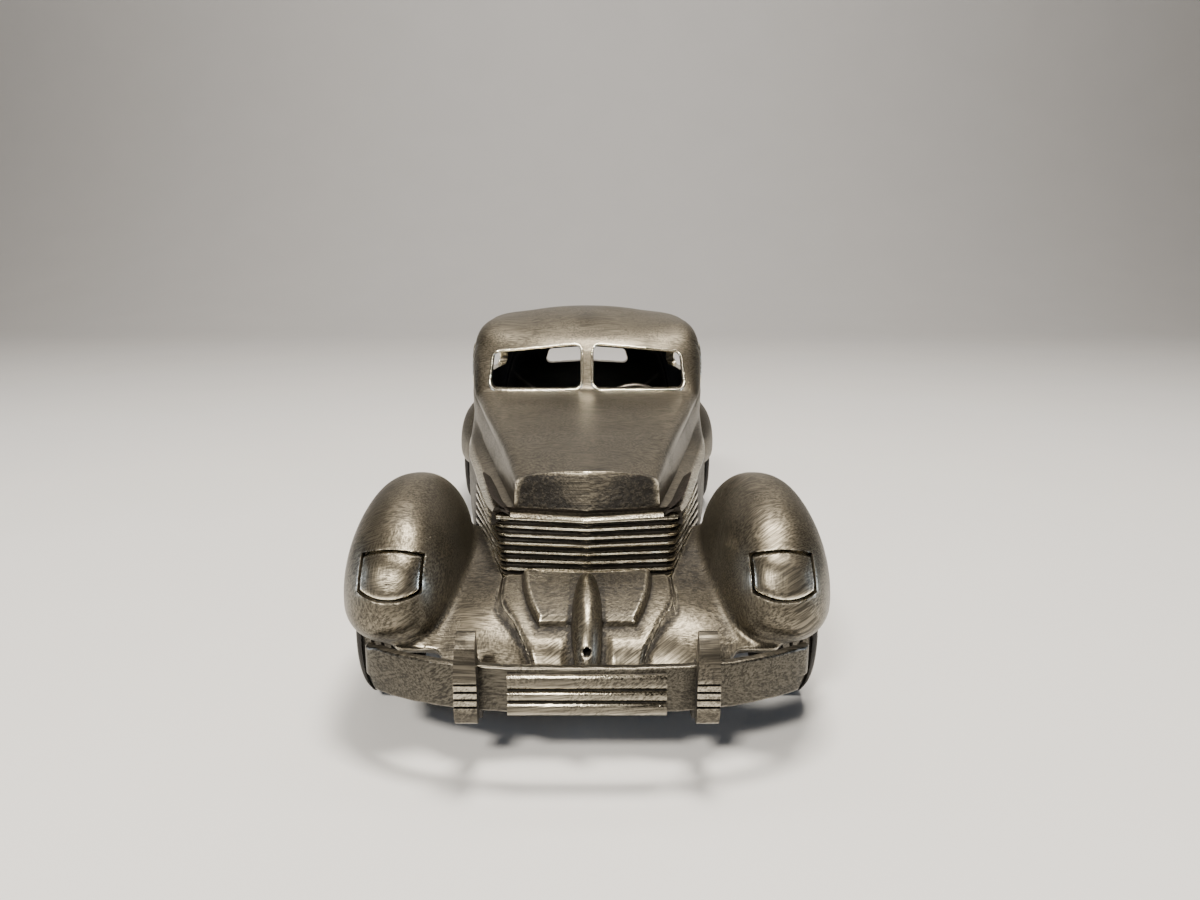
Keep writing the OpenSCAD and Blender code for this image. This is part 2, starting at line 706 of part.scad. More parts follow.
module front_bumper_plate() color(metal) at_front() difference() {
    translate([-plate_w / 2, 0.4, bar_z - bar_h / 2]) cube([plate_w, 1.6, bar_h - 0.5]);
    for (i = [0:2])
        translate([-plate_w, 0, bar_z - bar_h / 2 + 0.55 + i * 0.95]) cube([plate_w * 2, 0.7, 0.38]);
    bumper_bar();
    translate([-plate_w, bar_front + 0.45, 0]) cube([plate_w * 2, 3, 20]);
}

module front_overrider_left() color(metal) at_front() overrider();
module front_overrider_right() color(metal) at_front() mirror([1, 0, 0]) overrider();
module front_bumper_iron_left() color(dark_metal) at_front() bumper_iron(front_arm);
module front_bumper_iron_right() color(dark_metal) at_front() mirror([1, 0, 0]) bumper_iron(front_arm);
module rear_bumper_bar() color(dark_metal) at_rear() bumper_bar();
module rear_overrider_left() color(metal) at_rear() overrider();
module rear_overrider_right() color(metal) at_rear() mirror([1, 0, 0]) overrider();
module rear_bumper_iron_left() color(dark_metal) at_rear() bumper_iron(rear_arm);
module rear_bumper_iron_right() color(dark_metal) at_rear() mirror([1, 0, 0]) bumper_iron(rear_arm);

// ---- Chassis -------------------------------------------------------------------------------

bore_r = axle_d / 2 + axle_clearance;
block_t = 2.4;

// A pair of bearing blocks, moved outwards by g
module bearing(y, x, g = 0) {
    for (side = [-1, 1])
        mirrored(side)
            translate([x - block_t / 2 - g, y - bore_r - 1.1 - g, plate_z])
                cube([block_t + 2 * g, 2 * bore_r + 2.2 + 2 * g, axle_z + bore_r + 0.8 + g - plate_z]);
}

module base_plate() color(dark_metal) difference() {
    union() {
        translate([0, 0, plate_z]) linear_extrude(plate_t) {
            polygon([
                [-guard_x - 1, plate_front_y], [guard_x + 1, plate_front_y], [11 * kx, along(24)],
                [12 * kx, along(50)], [12 * kx, along(92)], [guard_x + 1.6, plate_rear_y],
                [-guard_x - 1.6, plate_rear_y], [-12 * kx, along(92)], [-12 * kx, along(50)],
                [-11 * kx, along(24)]
            ]);
        }
        bearing(front_axle_y, 8.6 * kx);
        bearing(rear_axle_y, 9.2 * kx);
    }
    for (y = [front_axle_y, rear_axle_y])
        translate([-half_w, y, axle_z]) rotate([0, 90, 0]) cylinder(h = width, r = bore_r);
    for (y = [post_front_y, post_rear_y])
        translate([0, y, plate_z - 1]) {
            cylinder(h = plate_t + 2, d = screw_d + 0.2);
            cylinder(h = 1.8, d = screw_head_d + 0.3);
        }
}

module base_screws() color(dark_metal)
    for (y = [post_front_y, post_rear_y])
        translate([0, y, plate_z + 0.1]) difference() {
            union() {
                cylinder(h = 0.7, d = screw_head_d);
                cylinder(h = plate_t + 4, d = screw_d);
            }
            translate([-screw_head_d, -0.2, -1]) cube([screw_head_d * 2, 0.4, 1.3]);
        }

module cabin_floor() color(dark_metal)
    translate([-11 * kx, along(48), plate_top]) cube([22 * kx, along(88) - along(48), floor_t]);
floor_t = 0.9;
floor_top = plate_top + floor_t;

// ---- Cabin ---------------------------------------------------------------------------------

column_tilt = 27;
column_r = 0.55;
wheel_x = 6.5 * kx;
wheel_y = along(60.5);
wheel_z = lift(21.2);
dash_y = along(54.4);
dash_t = 1.6;

// Places its children in the steering wheel's own frame, Z up the column
module on_column() {
    translate([wheel_x, wheel_y, wheel_z]) rotate([column_tilt - 90, 0, 0]) children();
}

module dashboard() color(dark_metal) difference() {
    dash_half = (14.9 * kx) - wall - joint_gap * 2;
    union() {
        front_view(dash_y - dash_t / 2, dash_y + dash_t / 2) {
            translate([-dash_half, lift(20)]) square([2 * dash_half, lift(23.6) - lift(20)]);
            // bracket that holds the column
            translate([wheel_x, lift(18.3)]) square([2.8, 4], center = true);
        }
    }
    on_column() translate([0, 0, -20]) cylinder(h = 24, r = column_r + 0.03);
}

module steering_column() color(dark_metal)
    on_column() translate([0, 0, -12]) cylinder(h = 11.4, r = column_r);

module steering_wheel() color(dark_metal) on_column() {
    rotate_extrude() translate([wheel_rim_r - wheel_rim_d / 2, 0]) circle(d = wheel_rim_d, $fn = 24);
    translate([0, 0, -0.6]) cylinder(h = 1, r = 0.95);
    for (a = [90, 210, 330])
        rotate([0, 0, a]) translate([0.5, 0, 0]) rotate([0, 90, 0])
            cylinder(h = wheel_rim_r - wheel_rim_d / 2 - 0.5, d = 0.4);
}

// Bench seat standing on the floor, depth deep, its back up to top
module bench(y, depth, top) {
    z = floor_top;
    side = top - z;
    translate([-seat_w * kx / 2, y, z]) rotate([90, 0, 90]) linear_extrude(seat_w * kx)
        polygon([
            [0.4, 0], [0, 0.6], [0, 5.6], [0.5, 6.4], [depth - 3.6, 6.2], [depth - 2.2, side - 0.8],
            [depth - 1.5, side], [depth - 0.4, side - 0.2], [depth, side - 1], [depth - 0.7, 0]
        ]);
}

module front_seat() color(dark_metal) bench(along(65), 9, lift(19.6));
module rear_seat() color(dark_metal) bench(along(78.5), 8.5, lift(19.4));

// ---- Wheels and axles ----------------------------------------------------------------------

// Places its children at one end of an axle: Z out along the axle, z = 0 on the middle of the car
module axle_end(y, side) {
    mirrored(side) translate([0, y, axle_z]) rotate([0, 90, 0]) children();
}

module tyre(y, side) {
    c = 0.7;
    axle_end(y, side) rotate_extrude($fn = 96) difference() {
        polygon([
            [disc_r, tyre_inner_x + 0.5], [tyre_r - c * 1.6, tyre_inner_x],
            [tyre_r - c * 0.6, tyre_inner_x + 0.25], [tyre_r, tyre_inner_x + c], [tyre_r, tyre_outer_x - c],
            [tyre_r - c * 0.6, tyre_outer_x - 0.25], [tyre_r - c * 1.6, tyre_outer_x],
            [disc_r, tyre_outer_x - 0.5]
        ]);
        for (i = [1:tread_grooves])
            translate([tyre_r - 0.3, tyre_inner_x + tyre_w * i / (tread_grooves + 1) - 0.12])
                square([1, 0.24]);
    }
}

module wheel_disc(y, side) {
    face = tyre_outer_x - 0.7;
    axle_end(y, side) difference() {
        rotate_extrude($fn = 96) polygon([
            [0, face - 1.3], [0, face + 0.75], [0.8, face + 0.7], [1.5, face + 0.5], [2, face + 0.2],
            [2.2, face - 0.1], [3.2, face - 0.05], [4.4, face + 0.05], [4.9, face + 0.2],
            [disc_r - 0.01, face + 0.1], [disc_r - 0.01, face - 1.2], [4.6, face - 1.2],
            [3.4, face - 1], [2.2, face - 1.1],
            [2, tyre_inner_x + 0.2], [0, tyre_inner_x + 0.2]
        ]);
        translate([0, 0, tyre_inner_x - 1])
            cylinder(h = axle_half - tyre_inner_x + 1.02, d = axle_d + 0.02);
        for (i = [0:vent_holes - 1])
            rotate([0, 0, 360 * i / vent_holes]) translate([3.75, 0, face - 2])
                cylinder(h = 4, r = 0.36, $fn = 20);
    }
}
axle_half = tyre_outer_x - 1.2;

module axle_rod(y) {
    translate([-axle_half, y, axle_z]) rotate([0, 90, 0]) cylinder(h = axle_half * 2, d = axle_d);
}

module front_axle() color(dark_metal) axle_rod(front_axle_y);
module rear_axle() color(dark_metal) axle_rod(rear_axle_y);
module front_tyre_left() color(metal) tyre(front_axle_y, 1);
module front_tyre_right() color(metal) tyre(front_axle_y, -1);
module rear_tyre_left() color(metal) tyre(rear_axle_y, 1);
module rear_tyre_right() color(metal) tyre(rear_axle_y, -1);
module front_disc_left() color(metal) wheel_disc(front_axle_y, 1);
module front_disc_right() color(metal) wheel_disc(front_axle_y, -1);
module rear_disc_left() color(metal) wheel_disc(rear_axle_y, 1);
module rear_disc_right() color(metal) wheel_disc(rear_axle_y, -1);

body_shell();
front_wing_left();
front_wing_right();
rear_wing_left();
rear_wing_right();
headlamp_cover_left();
headlamp_cover_right();
gearbox_cover();
prow_fairing();
front_bumper_bar();
front_bumper_plate();
front_overrider_left();
front_overrider_right();
front_bumper_iron_left();
front_bumper_iron_right();
rear_bumper_bar();
rear_overrider_left();
rear_overrider_right();
rear_bumper_iron_left();
rear_bumper_iron_right();
base_plate();
base_screws();
cabin_floor();
dashboard();
steering_column();
steering_wheel();
front_seat();
rear_seat();
front_axle();
front_tyre_left();
front_tyre_right();
front_disc_left();
front_disc_right();
rear_axle();
rear_tyre_left();
rear_tyre_right();
rear_disc_left();
rear_disc_right();
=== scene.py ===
"""Looks of a cast pewter collector car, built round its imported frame."""

import logging
import math
from dataclasses import dataclass
from enum import Enum
from typing import Callable, Iterable, Sequence

import bmesh
import bpy
import numpy as np
from mathutils import Matrix, Vector
from mathutils.bvhtree import BVHTree


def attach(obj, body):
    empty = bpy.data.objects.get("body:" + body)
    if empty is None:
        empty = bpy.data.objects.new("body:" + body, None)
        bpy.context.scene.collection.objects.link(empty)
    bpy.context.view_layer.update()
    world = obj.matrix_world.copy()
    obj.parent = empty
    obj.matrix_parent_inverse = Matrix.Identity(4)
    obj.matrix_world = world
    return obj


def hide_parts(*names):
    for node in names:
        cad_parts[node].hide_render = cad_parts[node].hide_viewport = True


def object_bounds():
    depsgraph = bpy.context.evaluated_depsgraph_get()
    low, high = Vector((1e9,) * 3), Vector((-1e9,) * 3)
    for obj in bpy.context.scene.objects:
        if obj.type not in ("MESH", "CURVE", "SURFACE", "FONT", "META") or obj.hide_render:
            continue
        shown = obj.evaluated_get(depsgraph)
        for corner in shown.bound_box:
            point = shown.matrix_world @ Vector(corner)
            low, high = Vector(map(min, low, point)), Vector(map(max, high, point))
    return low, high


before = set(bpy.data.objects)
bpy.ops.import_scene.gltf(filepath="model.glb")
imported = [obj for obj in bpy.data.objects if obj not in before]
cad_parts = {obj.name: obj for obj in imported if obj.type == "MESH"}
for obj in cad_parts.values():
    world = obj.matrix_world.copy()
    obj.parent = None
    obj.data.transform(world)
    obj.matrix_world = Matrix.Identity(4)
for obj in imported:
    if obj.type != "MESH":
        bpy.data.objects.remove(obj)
CAD_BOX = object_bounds()
MM = 0.001
CAR, FRONT_WHEELS, REAR_WHEELS = "car", "front_wheelset", "rear_wheelset"
log = logging.getLogger("collector_car")

Row = tuple[float, ...]
Rows = tuple[Row, ...]


# ---- Numbers and curves ---------------------------------------------------------------------


def clamp(value: float, low: float = 0.0, high: float = 1.0) -> float:
    """Holds a value between two limits."""
    return max(low, min(high, value))


def mix(a: float, b: float, t: float) -> float:
    """Goes straight from a to b as t goes from 0 to 1."""
    return a + (b - a) * t


def ease(low: float, high: float, value: float) -> float:
    """Rises smoothly from 0 at low to 1 at high, which may lie below low for a fall."""
    t = clamp((value - low) / (high - low))
    return t * t * (3 - 2 * t)


def smooth(rows: Rows, at: float, column: int) -> float:
    """Reads one column of a table as a smooth curve through its rows.

    Args:
        rows: Rows sorted by their first number.
        at: Where along the first column to read.
        column: Which column to read.

    Returns:
        The curve's value, held level past both ends.
    """
    i = 0
    while i < len(rows) - 2 and at >= rows[i + 1][0]:
        i += 1
    a, b = rows[i], rows[i + 1]
    h = b[0] - a[0]
    t = clamp((at - a[0]) / h)

    def slope(k: int) -> float:
        """Slope of the curve at row k."""
        p, q = rows[max(0, k - 1)], rows[min(len(rows) - 1, k + 1)]
        return (q[column] - p[column]) / (q[0] - p[0])

    t2, t3 = t * t, t * t * t
    return (
        (2 * t3 - 3 * t2 + 1) * a[column]
        + (t3 - 2 * t2 + t) * h * slope(i)
        + (3 * t2 - 2 * t3) * b[column]
        + (t3 - t2) * h * slope(i + 1)
    )


def through(points: Sequence[Vector], i: int, t: float) -> Vector:
    """Finds a point of the curve through some points, t (0 to 1) along from points[i]."""
    a, b, c = points[max(0, i - 1)], points[i], points[i + 1]
    d = points[min(len(points) - 1, i + 2)]
    return 0.5 * (
        2 * b + (c - a) * t + (2 * a - 5 * b + 4 * c - d) * t**2 + (3 * b - a - 3 * c + d) * t**3
    )


def spread(*stretches: tuple[float, float, int]) -> list[float]:
    """Lists values that run through stretches, given as start, end and number of equal steps."""
    values = [
        mix(low, high, k / steps) for low, high, steps in stretches for k in range(steps)
    ]
    return values + [stretches[-1][1]]


@dataclass(frozen=True)
class Datum:
    """Where the reference shapes stand in the frame; all in millimetres.

    Shapes are drawn by station s (distance behind the foremost point), half width x and height z.

    Attributes:
        nose: Where the foremost point lies along Y.
        half_width: Half the car's width.
        top: Height of the roof.
        sill: Height of the body's lower edge.
        drawn_sill: That height in the drawn shapes.
        drawn_top: Height of the roof in the drawn shapes.
    """

    nose: float = CAD_BOX[0][1] / MM
    half_width: float = CAD_BOX[1][0] / MM
    top: float = CAD_BOX[1][2] / MM
    sill: float = 5.36
    drawn_sill: float = 5.4
    drawn_top: float = 35.0

    def lift(self, z: float) -> float:
        """Turns a drawn height into the car's height."""
        rise = (self.top - self.sill) / (self.drawn_top - self.drawn_sill)
        return self.sill + (z - self.drawn_sill) * rise

    def at(self, x: float, s: float, z: float) -> Vector:
        """Places a drawn point in the frame, in metres."""
        return Vector((x, self.nose + s, self.lift(z))) * MM

    def flat(self, x: float, s: float, z: float) -> Vector:
        """Places a point whose height is a real one, in metres."""
        return Vector((x, self.nose + s, z)) * MM


DATUM = Datum()


# ---- Finishes -------------------------------------------------------------------------------


class Stroke(Enum):
    """Which way a piece was rubbed: the turn and the lean of the marks, in degrees."""

    ACROSS = (90.0, 0.0)
    ROUND = (53.0, -53.0)


@dataclass(frozen=True)
class Pewter:
    """Antiqued pewter: rubbed bright on its high places and left dark in its recesses.

    Attributes:
        name: The material's name.
        bright: Colour of worn edges.
        body: Colour of the rubbed surface.
        tarnish_and_shade: Colour of the dark patina, also laid where shade is painted.
        roughness: Roughness of the rubbed surface.
        darkness: How much patina is left all over, 0 to 1.
        brushing: Strength of the rubbing marks.
        pitting: Strength of the casting pits.
        stroke: Which way the piece was rubbed.
    """

    name: str
    bright: tuple[float, float, float] = (0.72, 0.66, 0.53)
    body: tuple[float, float, float] = (0.142, 0.126, 0.096)
    tarnish_and_shade: tuple[float, float, float] = (0.012, 0.010, 0.008)
    roughness: float = 0.33
    darkness: float = 0.12
    brushing: float = 1.0
    pitting: float = 0.4
    stroke: Stroke = Stroke.ACROSS

    def material(self) -> bpy.types.Material:
        """Builds the finish, once.

        Returns:
            The material, made on the first call and found on the next ones.
        """
        found = bpy.data.materials.get(self.name)
        return found if found else PewterNodes(self).build()


class PewterNodes:
    """Lays out the nodes of one pewter finish."""

    def __init__(self, finish: Pewter) -> None:
        """Starts an empty material for the finish."""
        self.finish = finish
        self.made = bpy.data.materials.new(finish.name)
        self.made.use_nodes = True
        self.tree = self.made.node_tree
        self.tree.nodes.clear()

    def node(self, kind: str, **values: object) -> bpy.types.Node:
        """Adds a node; values are its settings, or its sockets with underscores for spaces."""
        made = self.tree.nodes.new("ShaderNode" + kind)
        for key, value in values.items():
            if hasattr(made, key):
                setattr(made, key, value)
            else:
                made.inputs[key.replace("_", " ")].default_value = value
        return made

    def wire(self, source: bpy.types.NodeSocket, target: bpy.types.NodeSocket) -> None:
        """Links two sockets."""
        self.tree.links.new(source, target)

    def sum(self, operation: str, *terms: object, clamped: bool = False) -> bpy.types.NodeSocket:
        """Works on numbers or sockets with a Math node, holding the result in 0 to 1 if clamped."""
        made = self.node("Math", operation=operation, use_clamp=clamped)
        for socket, term in zip(made.inputs, terms):
            if isinstance(term, (int, float)):
                socket.default_value = term
            else:
                self.wire(term, socket)
        return made.outputs[0]

    def ramp(self, source: bpy.types.NodeSocket, low: float, high: float) -> bpy.types.NodeSocket:
        """Maps a value from low..high onto 0..1, smoothly and held at both ends."""
        made = self.node("MapRange", interpolation_type="SMOOTHSTEP")
        made.inputs["From Min"].default_value = low
        made.inputs["From Max"].default_value = high
        self.wire(source, made.inputs["Value"])
        return made.outputs["Result"]

    def noise(
        self,
        place: bpy.types.NodeSocket,
        scale: float,
        detail: float = 3.0,
        roughness: float = 0.55,
    ) -> bpy.types.NodeSocket:
        """Adds a noise texture; scale is in waves per millimetre."""
        made = self.node("TexNoise", Scale=scale, Detail=detail, Roughness=roughness)
        self.wire(place, made.inputs["Vector"])
        return made.outputs[0]

    def blend(
        self, amount: object, a: object, b: object, kind: str = "RGBA"
    ) -> bpy.types.NodeSocket:
        """Mixes two colours or two numbers.

        Args:
            amount: Number or socket, 0 for a and 1 for b.
            a: Colour, number or socket.
            b: Colour, number or socket.
            kind: RGBA or FLOAT.

        Returns:
            The mixture's socket.
        """
        made = self.node("Mix", data_type=kind)
        wanted = {"RGBA": ("A_Color", "B_Color"), "FLOAT": ("A_Float", "B_Float")}[kind]
        sockets = {i.identifier: i for i in made.inputs}
        for key, value in (("Factor_Float", amount), (wanted[0], a), (wanted[1], b)):
            if isinstance(value, bpy.types.NodeSocket):
                self.wire(value, sockets[key])
            elif kind == "RGBA" and key != "Factor_Float":
                sockets[key].default_value = (*value, 1.0)
            else:
                sockets[key].default_value = value
        results = {o.identifier: o for o in made.outputs}
        return results["Result_Color" if kind == "RGBA" else "Result_Float"]

    def strokes(self, place: bpy.types.NodeSocket, turn: Row, scale: Row) -> bpy.types.NodeSocket:
        """Adds one set of rubbing marks.

        Args:
            place: The surface place in millimetres, already bent a little.
            turn: Rotation of the marks in degrees.
            scale: Waves per millimetre along the marks and across them both ways.

        Returns:
            The marks' height, 0 to 1.
        """
        turned = self.node("Mapping", vector_type="POINT")
        turned.inputs["Rotation"].default_value = [math.radians(a) for a in turn]
        turned.inputs["Scale"].default_value = (1, 1, 1)
        self.wire(place, turned.inputs["Vector"])
        drawn = self.node("Mapping", vector_type="POINT")
        drawn.inputs["Scale"].default_value = scale
        self.wire(turned.outputs[0], drawn.inputs["Vector"])
        return self.noise(drawn.outputs[0], 1.0, 2.0, 0.6)

    def build(self) -> bpy.types.Material:
        """Joins brushing, patina and painted shade, pits and wear into one surface.

        Returns:
            The finished material.
        """
        f = self.finish
        coordinates = self.node("TexCoord")
        metric = self.node("Mapping", vector_type="POINT")
        metric.inputs["Scale"].default_value = (1 / MM,) * 3
        self.wire(coordinates.outputs["Object"], metric.inputs["Vector"])
        place = metric.outputs[0]

        # Places bent by slow noise, so that the rubbing marks curve.
        drift = self.node("TexNoise", Scale=0.06, Detail=0.0)
        self.wire(place, drift.inputs["Vector"])
        swing = self.node("VectorMath", operation="SCALE")
        swing.inputs["Scale"].default_value = 3.0
        self.wire(drift.outputs["Color"], swing.inputs[0])
        bent_node = self.node("VectorMath", operation="ADD")
        self.wire(place, bent_node.inputs[0])
        self.wire(swing.outputs[0], bent_node.inputs[1])
        bent = bent_node.outputs[0]

        turn, lean = f.stroke.value
        first = self.strokes(bent, (lean, 0, turn), (6.5, 0.14, 6.5))
        second = self.strokes(bent, (lean + 20, 15, turn + 38), (8.0, 0.2, 6.5))
        third = self.strokes(bent, (lean - 5, -25, turn - 50), (6.0, 0.16, 8.0))
        patch = self.ramp(self.noise(place, 0.16, 2.0), 0.42, 0.6)
        patch_two = self.ramp(self.noise(bent, 0.23, 1.0), 0.5, 0.62)
        marks = self.blend(patch, first, second, "FLOAT")
        marks = self.blend(self.sum("MULTIPLY", patch_two, 0.6), marks, third, "FLOAT")

        # Casting grain and pits.
        grain = self.noise(place, 3.2, 4.0, 0.62)
        cells = self.node("TexVoronoi", feature="F1", Scale=1.7, Randomness=1.0)
        self.wire(place, cells.inputs["Vector"])
        pit_field = self.ramp(self.noise(place, 0.5, 2.0), 0.52, 0.72)
        pit = self.sum(
            "MULTIPLY", self.ramp(cells.outputs["Distance"], 0.17, 0.06), pit_field, clamped=True
        )
        relief = self.node("Attribute", attribute_name="relief").outputs["Fac"]
        # The next attribute holds real patina in hollows and seams, together with painted shade in the
        # creases beside the nose and a painted highlight in the middle of the bonnet's front face.
        patina_and_shade = self.node("Attribute", attribute_name="patina_and_shade").outputs["Fac"]
        speckle = self.ramp(self.noise(place, 2.1, 3.0, 0.7), 0.38, 0.66)

        hollow = self.ramp(relief, -0.05, -0.5)
        raised = self.ramp(relief, 0.12, 0.7)
        cloud = self.ramp(self.noise(place, 0.22, 4.0, 0.6), 0.35, 0.75)
        worn_away = self.sum("MULTIPLY", raised, 0.8)
        dark = self.sum("MULTIPLY", hollow, 0.92)
        dark = self.sum("MAXIMUM", dark, self.sum("MULTIPLY", pit, f.pitting))
        # Patina and painted shade from that attribute, spotted a little.
        spotted_patina_and_shade = self.sum("MULTIPLY", patina_and_shade, self.sum("MULTIPLY_ADD", speckle, 0.3, 0.7))
        dark = self.sum("MAXIMUM", dark, spotted_patina_and_shade)
        haze = self.sum("MULTIPLY_ADD", cloud, 0.26, f.darkness)
        furrow = self.ramp(marks, 0.62, 0.34)
        haze = self.sum("MULTIPLY", haze, self.sum("MULTIPLY_ADD", furrow, 1.2, 0.4))
        dark = self.sum("ADD", dark, haze, clamped=True)
        dark = self.sum("SUBTRACT", dark, worn_away, clamped=True)

        shine = self.blend(self.ramp(marks, 0.34, 0.66), 0.5, 1.75, "FLOAT")
        metal = self.blend(raised, f.body, f.bright)
        lit = self.node("VectorMath", operation="SCALE")
        self.wire(metal, lit.inputs[0])
        self.wire(shine, lit.inputs["Scale"])
        colour = self.blend(dark, lit.outputs[0], f.tarnish_and_shade)

        rough = self.sum("MULTIPLY_ADD", marks, 0.26, f.roughness - 0.13)
        rough = self.sum("ADD", rough, self.sum("MULTIPLY", dark, 0.28))
        rough = self.sum("SUBTRACT", rough, self.sum("MULTIPLY", raised, 0.10), clamped=True)

        height = self.sum("MULTIPLY", marks, 0.55 * f.brushing)
        height = self.sum("ADD", height, self.sum("MULTIPLY", grain, 0.22))
        height = self.sum("SUBTRACT", height, self.sum("MULTIPLY", pit, 1.6 * f.pitting))
        stipple = self.sum("MULTIPLY", self.sum("MULTIPLY", speckle, patina_and_shade), 1.2)
        height = self.sum("SUBTRACT", height, stipple)
        bump = self.node("Bump", Strength=0.8, Distance=0.055 * MM)
        self.wire(height, bump.inputs["Height"])

        surface = self.node("BsdfPrincipled", Metallic=1.0)
        surface.inputs["Anisotropic"].default_value = 0.35
        surface.inputs["Specular IOR Level"].default_value = 0.5
        self.wire(colour, surface.inputs["Base Color"])
        self.wire(rough, surface.inputs["Roughness"])
        self.wire(self.sum("SUBTRACT", 1.0, self.sum("MULTIPLY", dark, 0.7)), surface.inputs["Metallic"])
        self.wire(bump.outputs[0], surface.inputs["Normal"])
        out = self.node("OutputMaterial")
        self.wire(surface.outputs[0], out.inputs["Surface"])
        return self.made


SHELL = Pewter("pewter_shell")
WING = Pewter("pewter_wing", stroke=Stroke.ROUND)
APRON = Pewter("pewter_apron", stroke=Stroke.ROUND, darkness=0.1)
# Much darker than the other pewter: painted shade, standing in for the dark surroundings that the bar's front
# face reflects.
BUMPER = Pewter(
    "pewter_bumper", body=(0.05, 0.046, 0.037), bright=(0.115, 0.105, 0.086), roughness=0.46, darkness=0.2,
    stroke=Stroke.ACROSS, pitting=1.0, brushing=0.4,
)
WHEEL = Pewter(
    "pewter_wheel", body=(0.06, 0.055, 0.048), bright=(0.17, 0.155, 0.135), roughness=0.46, darkness=0.3
)
TYRE = Pewter(
    "pewter_tyre", body=(0.03, 0.028, 0.025), bright=(0.075, 0.07, 0.06), roughness=0.5, darkness=0.3
)
CHASSIS = Pewter(
    "pewter_chassis", body=(0.05, 0.046, 0.04), bright=(0.16, 0.145, 0.125), roughness=0.5, darkness=0.3,
    pitting=1.0, brushing=0.4,
)
INSIDE = Pewter(
    "pewter_inside", body=(0.03, 0.027, 0.023), bright=(0.06, 0.05, 0.045), roughness=0.7, darkness=0.6,
    pitting=0.8, brushing=0.2,
)
FITTINGS = Pewter(
    "pewter_fittings", body=(0.10, 0.09, 0.08), bright=(0.34, 0.31, 0.27), roughness=0.5, darkness=0.35
)
LAMP = Pewter("pewter_lamp_cover", darkness=0.16, pitting=1.0, stroke=Stroke.ROUND)
RIBS = Pewter(
    "pewter_ribs", body=(0.085, 0.076, 0.06), bright=(0.36, 0.33, 0.265), roughness=0.36, darkness=0.16,
    pitting=0.8,
)
STEEL = Pewter(
    "turned_steel", body=(0.55, 0.55, 0.55), bright=(0.8, 0.8, 0.8), roughness=0.3, darkness=0.05, pitting=0.1
)


# ---- Meshes ---------------------------------------------------------------------------------


def new_object(name: str, bm: bmesh.types.BMesh) -> bpy.types.Object:
    """Turns a bmesh into a linked object and frees it.

    Args:
        name: Name of the object and its mesh.
        bm: The mesh, in metres in the frame.

    Returns:
        The object, at the origin.
    """
    mesh = bpy.data.meshes.new(name)
    bm.to_mesh(mesh)
    bm.free()
    made = bpy.data.objects.new(name, mesh)
    bpy.context.scene.collection.objects.link(made)
    return made


def settle(obj: bpy.types.Object) -> bpy.types.Object:
    """Applies an object's modifiers to its mesh."""
    graph = bpy.context.evaluated_depsgraph_get()
    mesh = bpy.data.meshes.new_from_object(obj.evaluated_get(graph))
    old = obj.data
    obj.modifiers.clear()
    obj.data = mesh
    bpy.data.meshes.remove(old)
    return obj


def carve(obj: bpy.types.Object, *cutters: bpy.types.Object, keep: str = "DIFFERENCE") -> bpy.types.Object:
    """Cuts an object with others, which are thrown away.

    Args:
        obj: The object to cut.
        *cutters: Closed shapes.
        keep: The boolean's operation.

    Returns:
        The cut object.
    """
    for cutter in cutters:
        cut = obj.modifiers.new("cut", "BOOLEAN")
        cut.operation, cut.solver, cut.object = keep, "EXACT", cutter
        settle(obj)
        drop(cutter)
    bm = bmesh.new()
    bm.from_mesh(obj.data)
    bmesh.ops.remove_doubles(bm, verts=bm.verts, dist=0.02 * MM)
    bmesh.ops.dissolve_degenerate(bm, edges=bm.edges, dist=0.01 * MM)
    bm.to_mesh(obj.data)
    bm.free()
    return obj


def drop(obj: bpy.types.Object) -> None:
    """Throws an object and its mesh away."""
    mesh = obj.data
    bpy.data.objects.remove(obj)
    bpy.data.meshes.remove(mesh)


def take_mesh(obj: bpy.types.Object) -> bmesh.types.BMesh:
    """Takes an object's mesh and throws the object away."""
    bm = bmesh.new()
    bm.from_mesh(obj.data)
    drop(obj)
    return bm


def join(bm: bmesh.types.BMesh, *others: bmesh.types.BMesh) -> bmesh.types.BMesh:
    """Adds other meshes to the first one, freeing them."""
    for other in others:
        mesh = bpy.data.meshes.new("part")
        other.to_mesh(mesh)
        other.free()
        bm.from_mesh(mesh)
        bpy.data.meshes.remove(mesh)
    return bm


def grid(columns: int, rows: int, place: Callable[[int, int], Vector]) -> bmesh.types.BMesh:
    """Shapes a flat grid by giving each of its corners a place.

    Args:
        columns: Cells along the first count.
        rows: Cells along the second count.
        place: The place of corner (i, j), in metres.

    Returns:
        The shaped mesh, with coinciding corners merged.
    """
    bm = bmesh.new()
    bmesh.ops.create_grid(bm, x_segments=columns, y_segments=rows, size=0.5)
    for v in bm.verts:
        i, j = round((v.co.x + 0.5) * columns), round((v.co.y + 0.5) * rows)
        v.co = place(i, j)
    bmesh.ops.remove_doubles(bm, verts=bm.verts, dist=0.002 * MM)
    bmesh.ops.dissolve_degenerate(bm, edges=bm.edges, dist=0.001 * MM)
    return bm


def sphere(columns: int, rows: int, place: Callable[[float, float], Vector]) -> bmesh.types.BMesh:
    """Shapes a ball by giving each point of it a place.

    Args:
        columns: Faces round.
        rows: Faces from pole to pole.
        place: The place for a turn in radians and a run from 0 to 1, pole to pole.

    Returns:
        The shaped mesh.
    """
    bm = bmesh.new()
    bmesh.ops.create_uvsphere(bm, u_segments=columns, v_segments=rows, radius=1.0)
    for v in bm.verts:
        run = math.acos(clamp(v.co.z, -1, 1)) / math.pi
        v.co = place(math.atan2(v.co.y, v.co.x), run)
    bmesh.ops.recalc_face_normals(bm, faces=bm.faces)
    return bm


def outline(points: Iterable[Vector]) -> bmesh.types.BMesh:
    """Starts a mesh with one face through some points."""
    bm = bmesh.new()
    bm.faces.new([bm.verts.new(p) for p in points])
    return bm


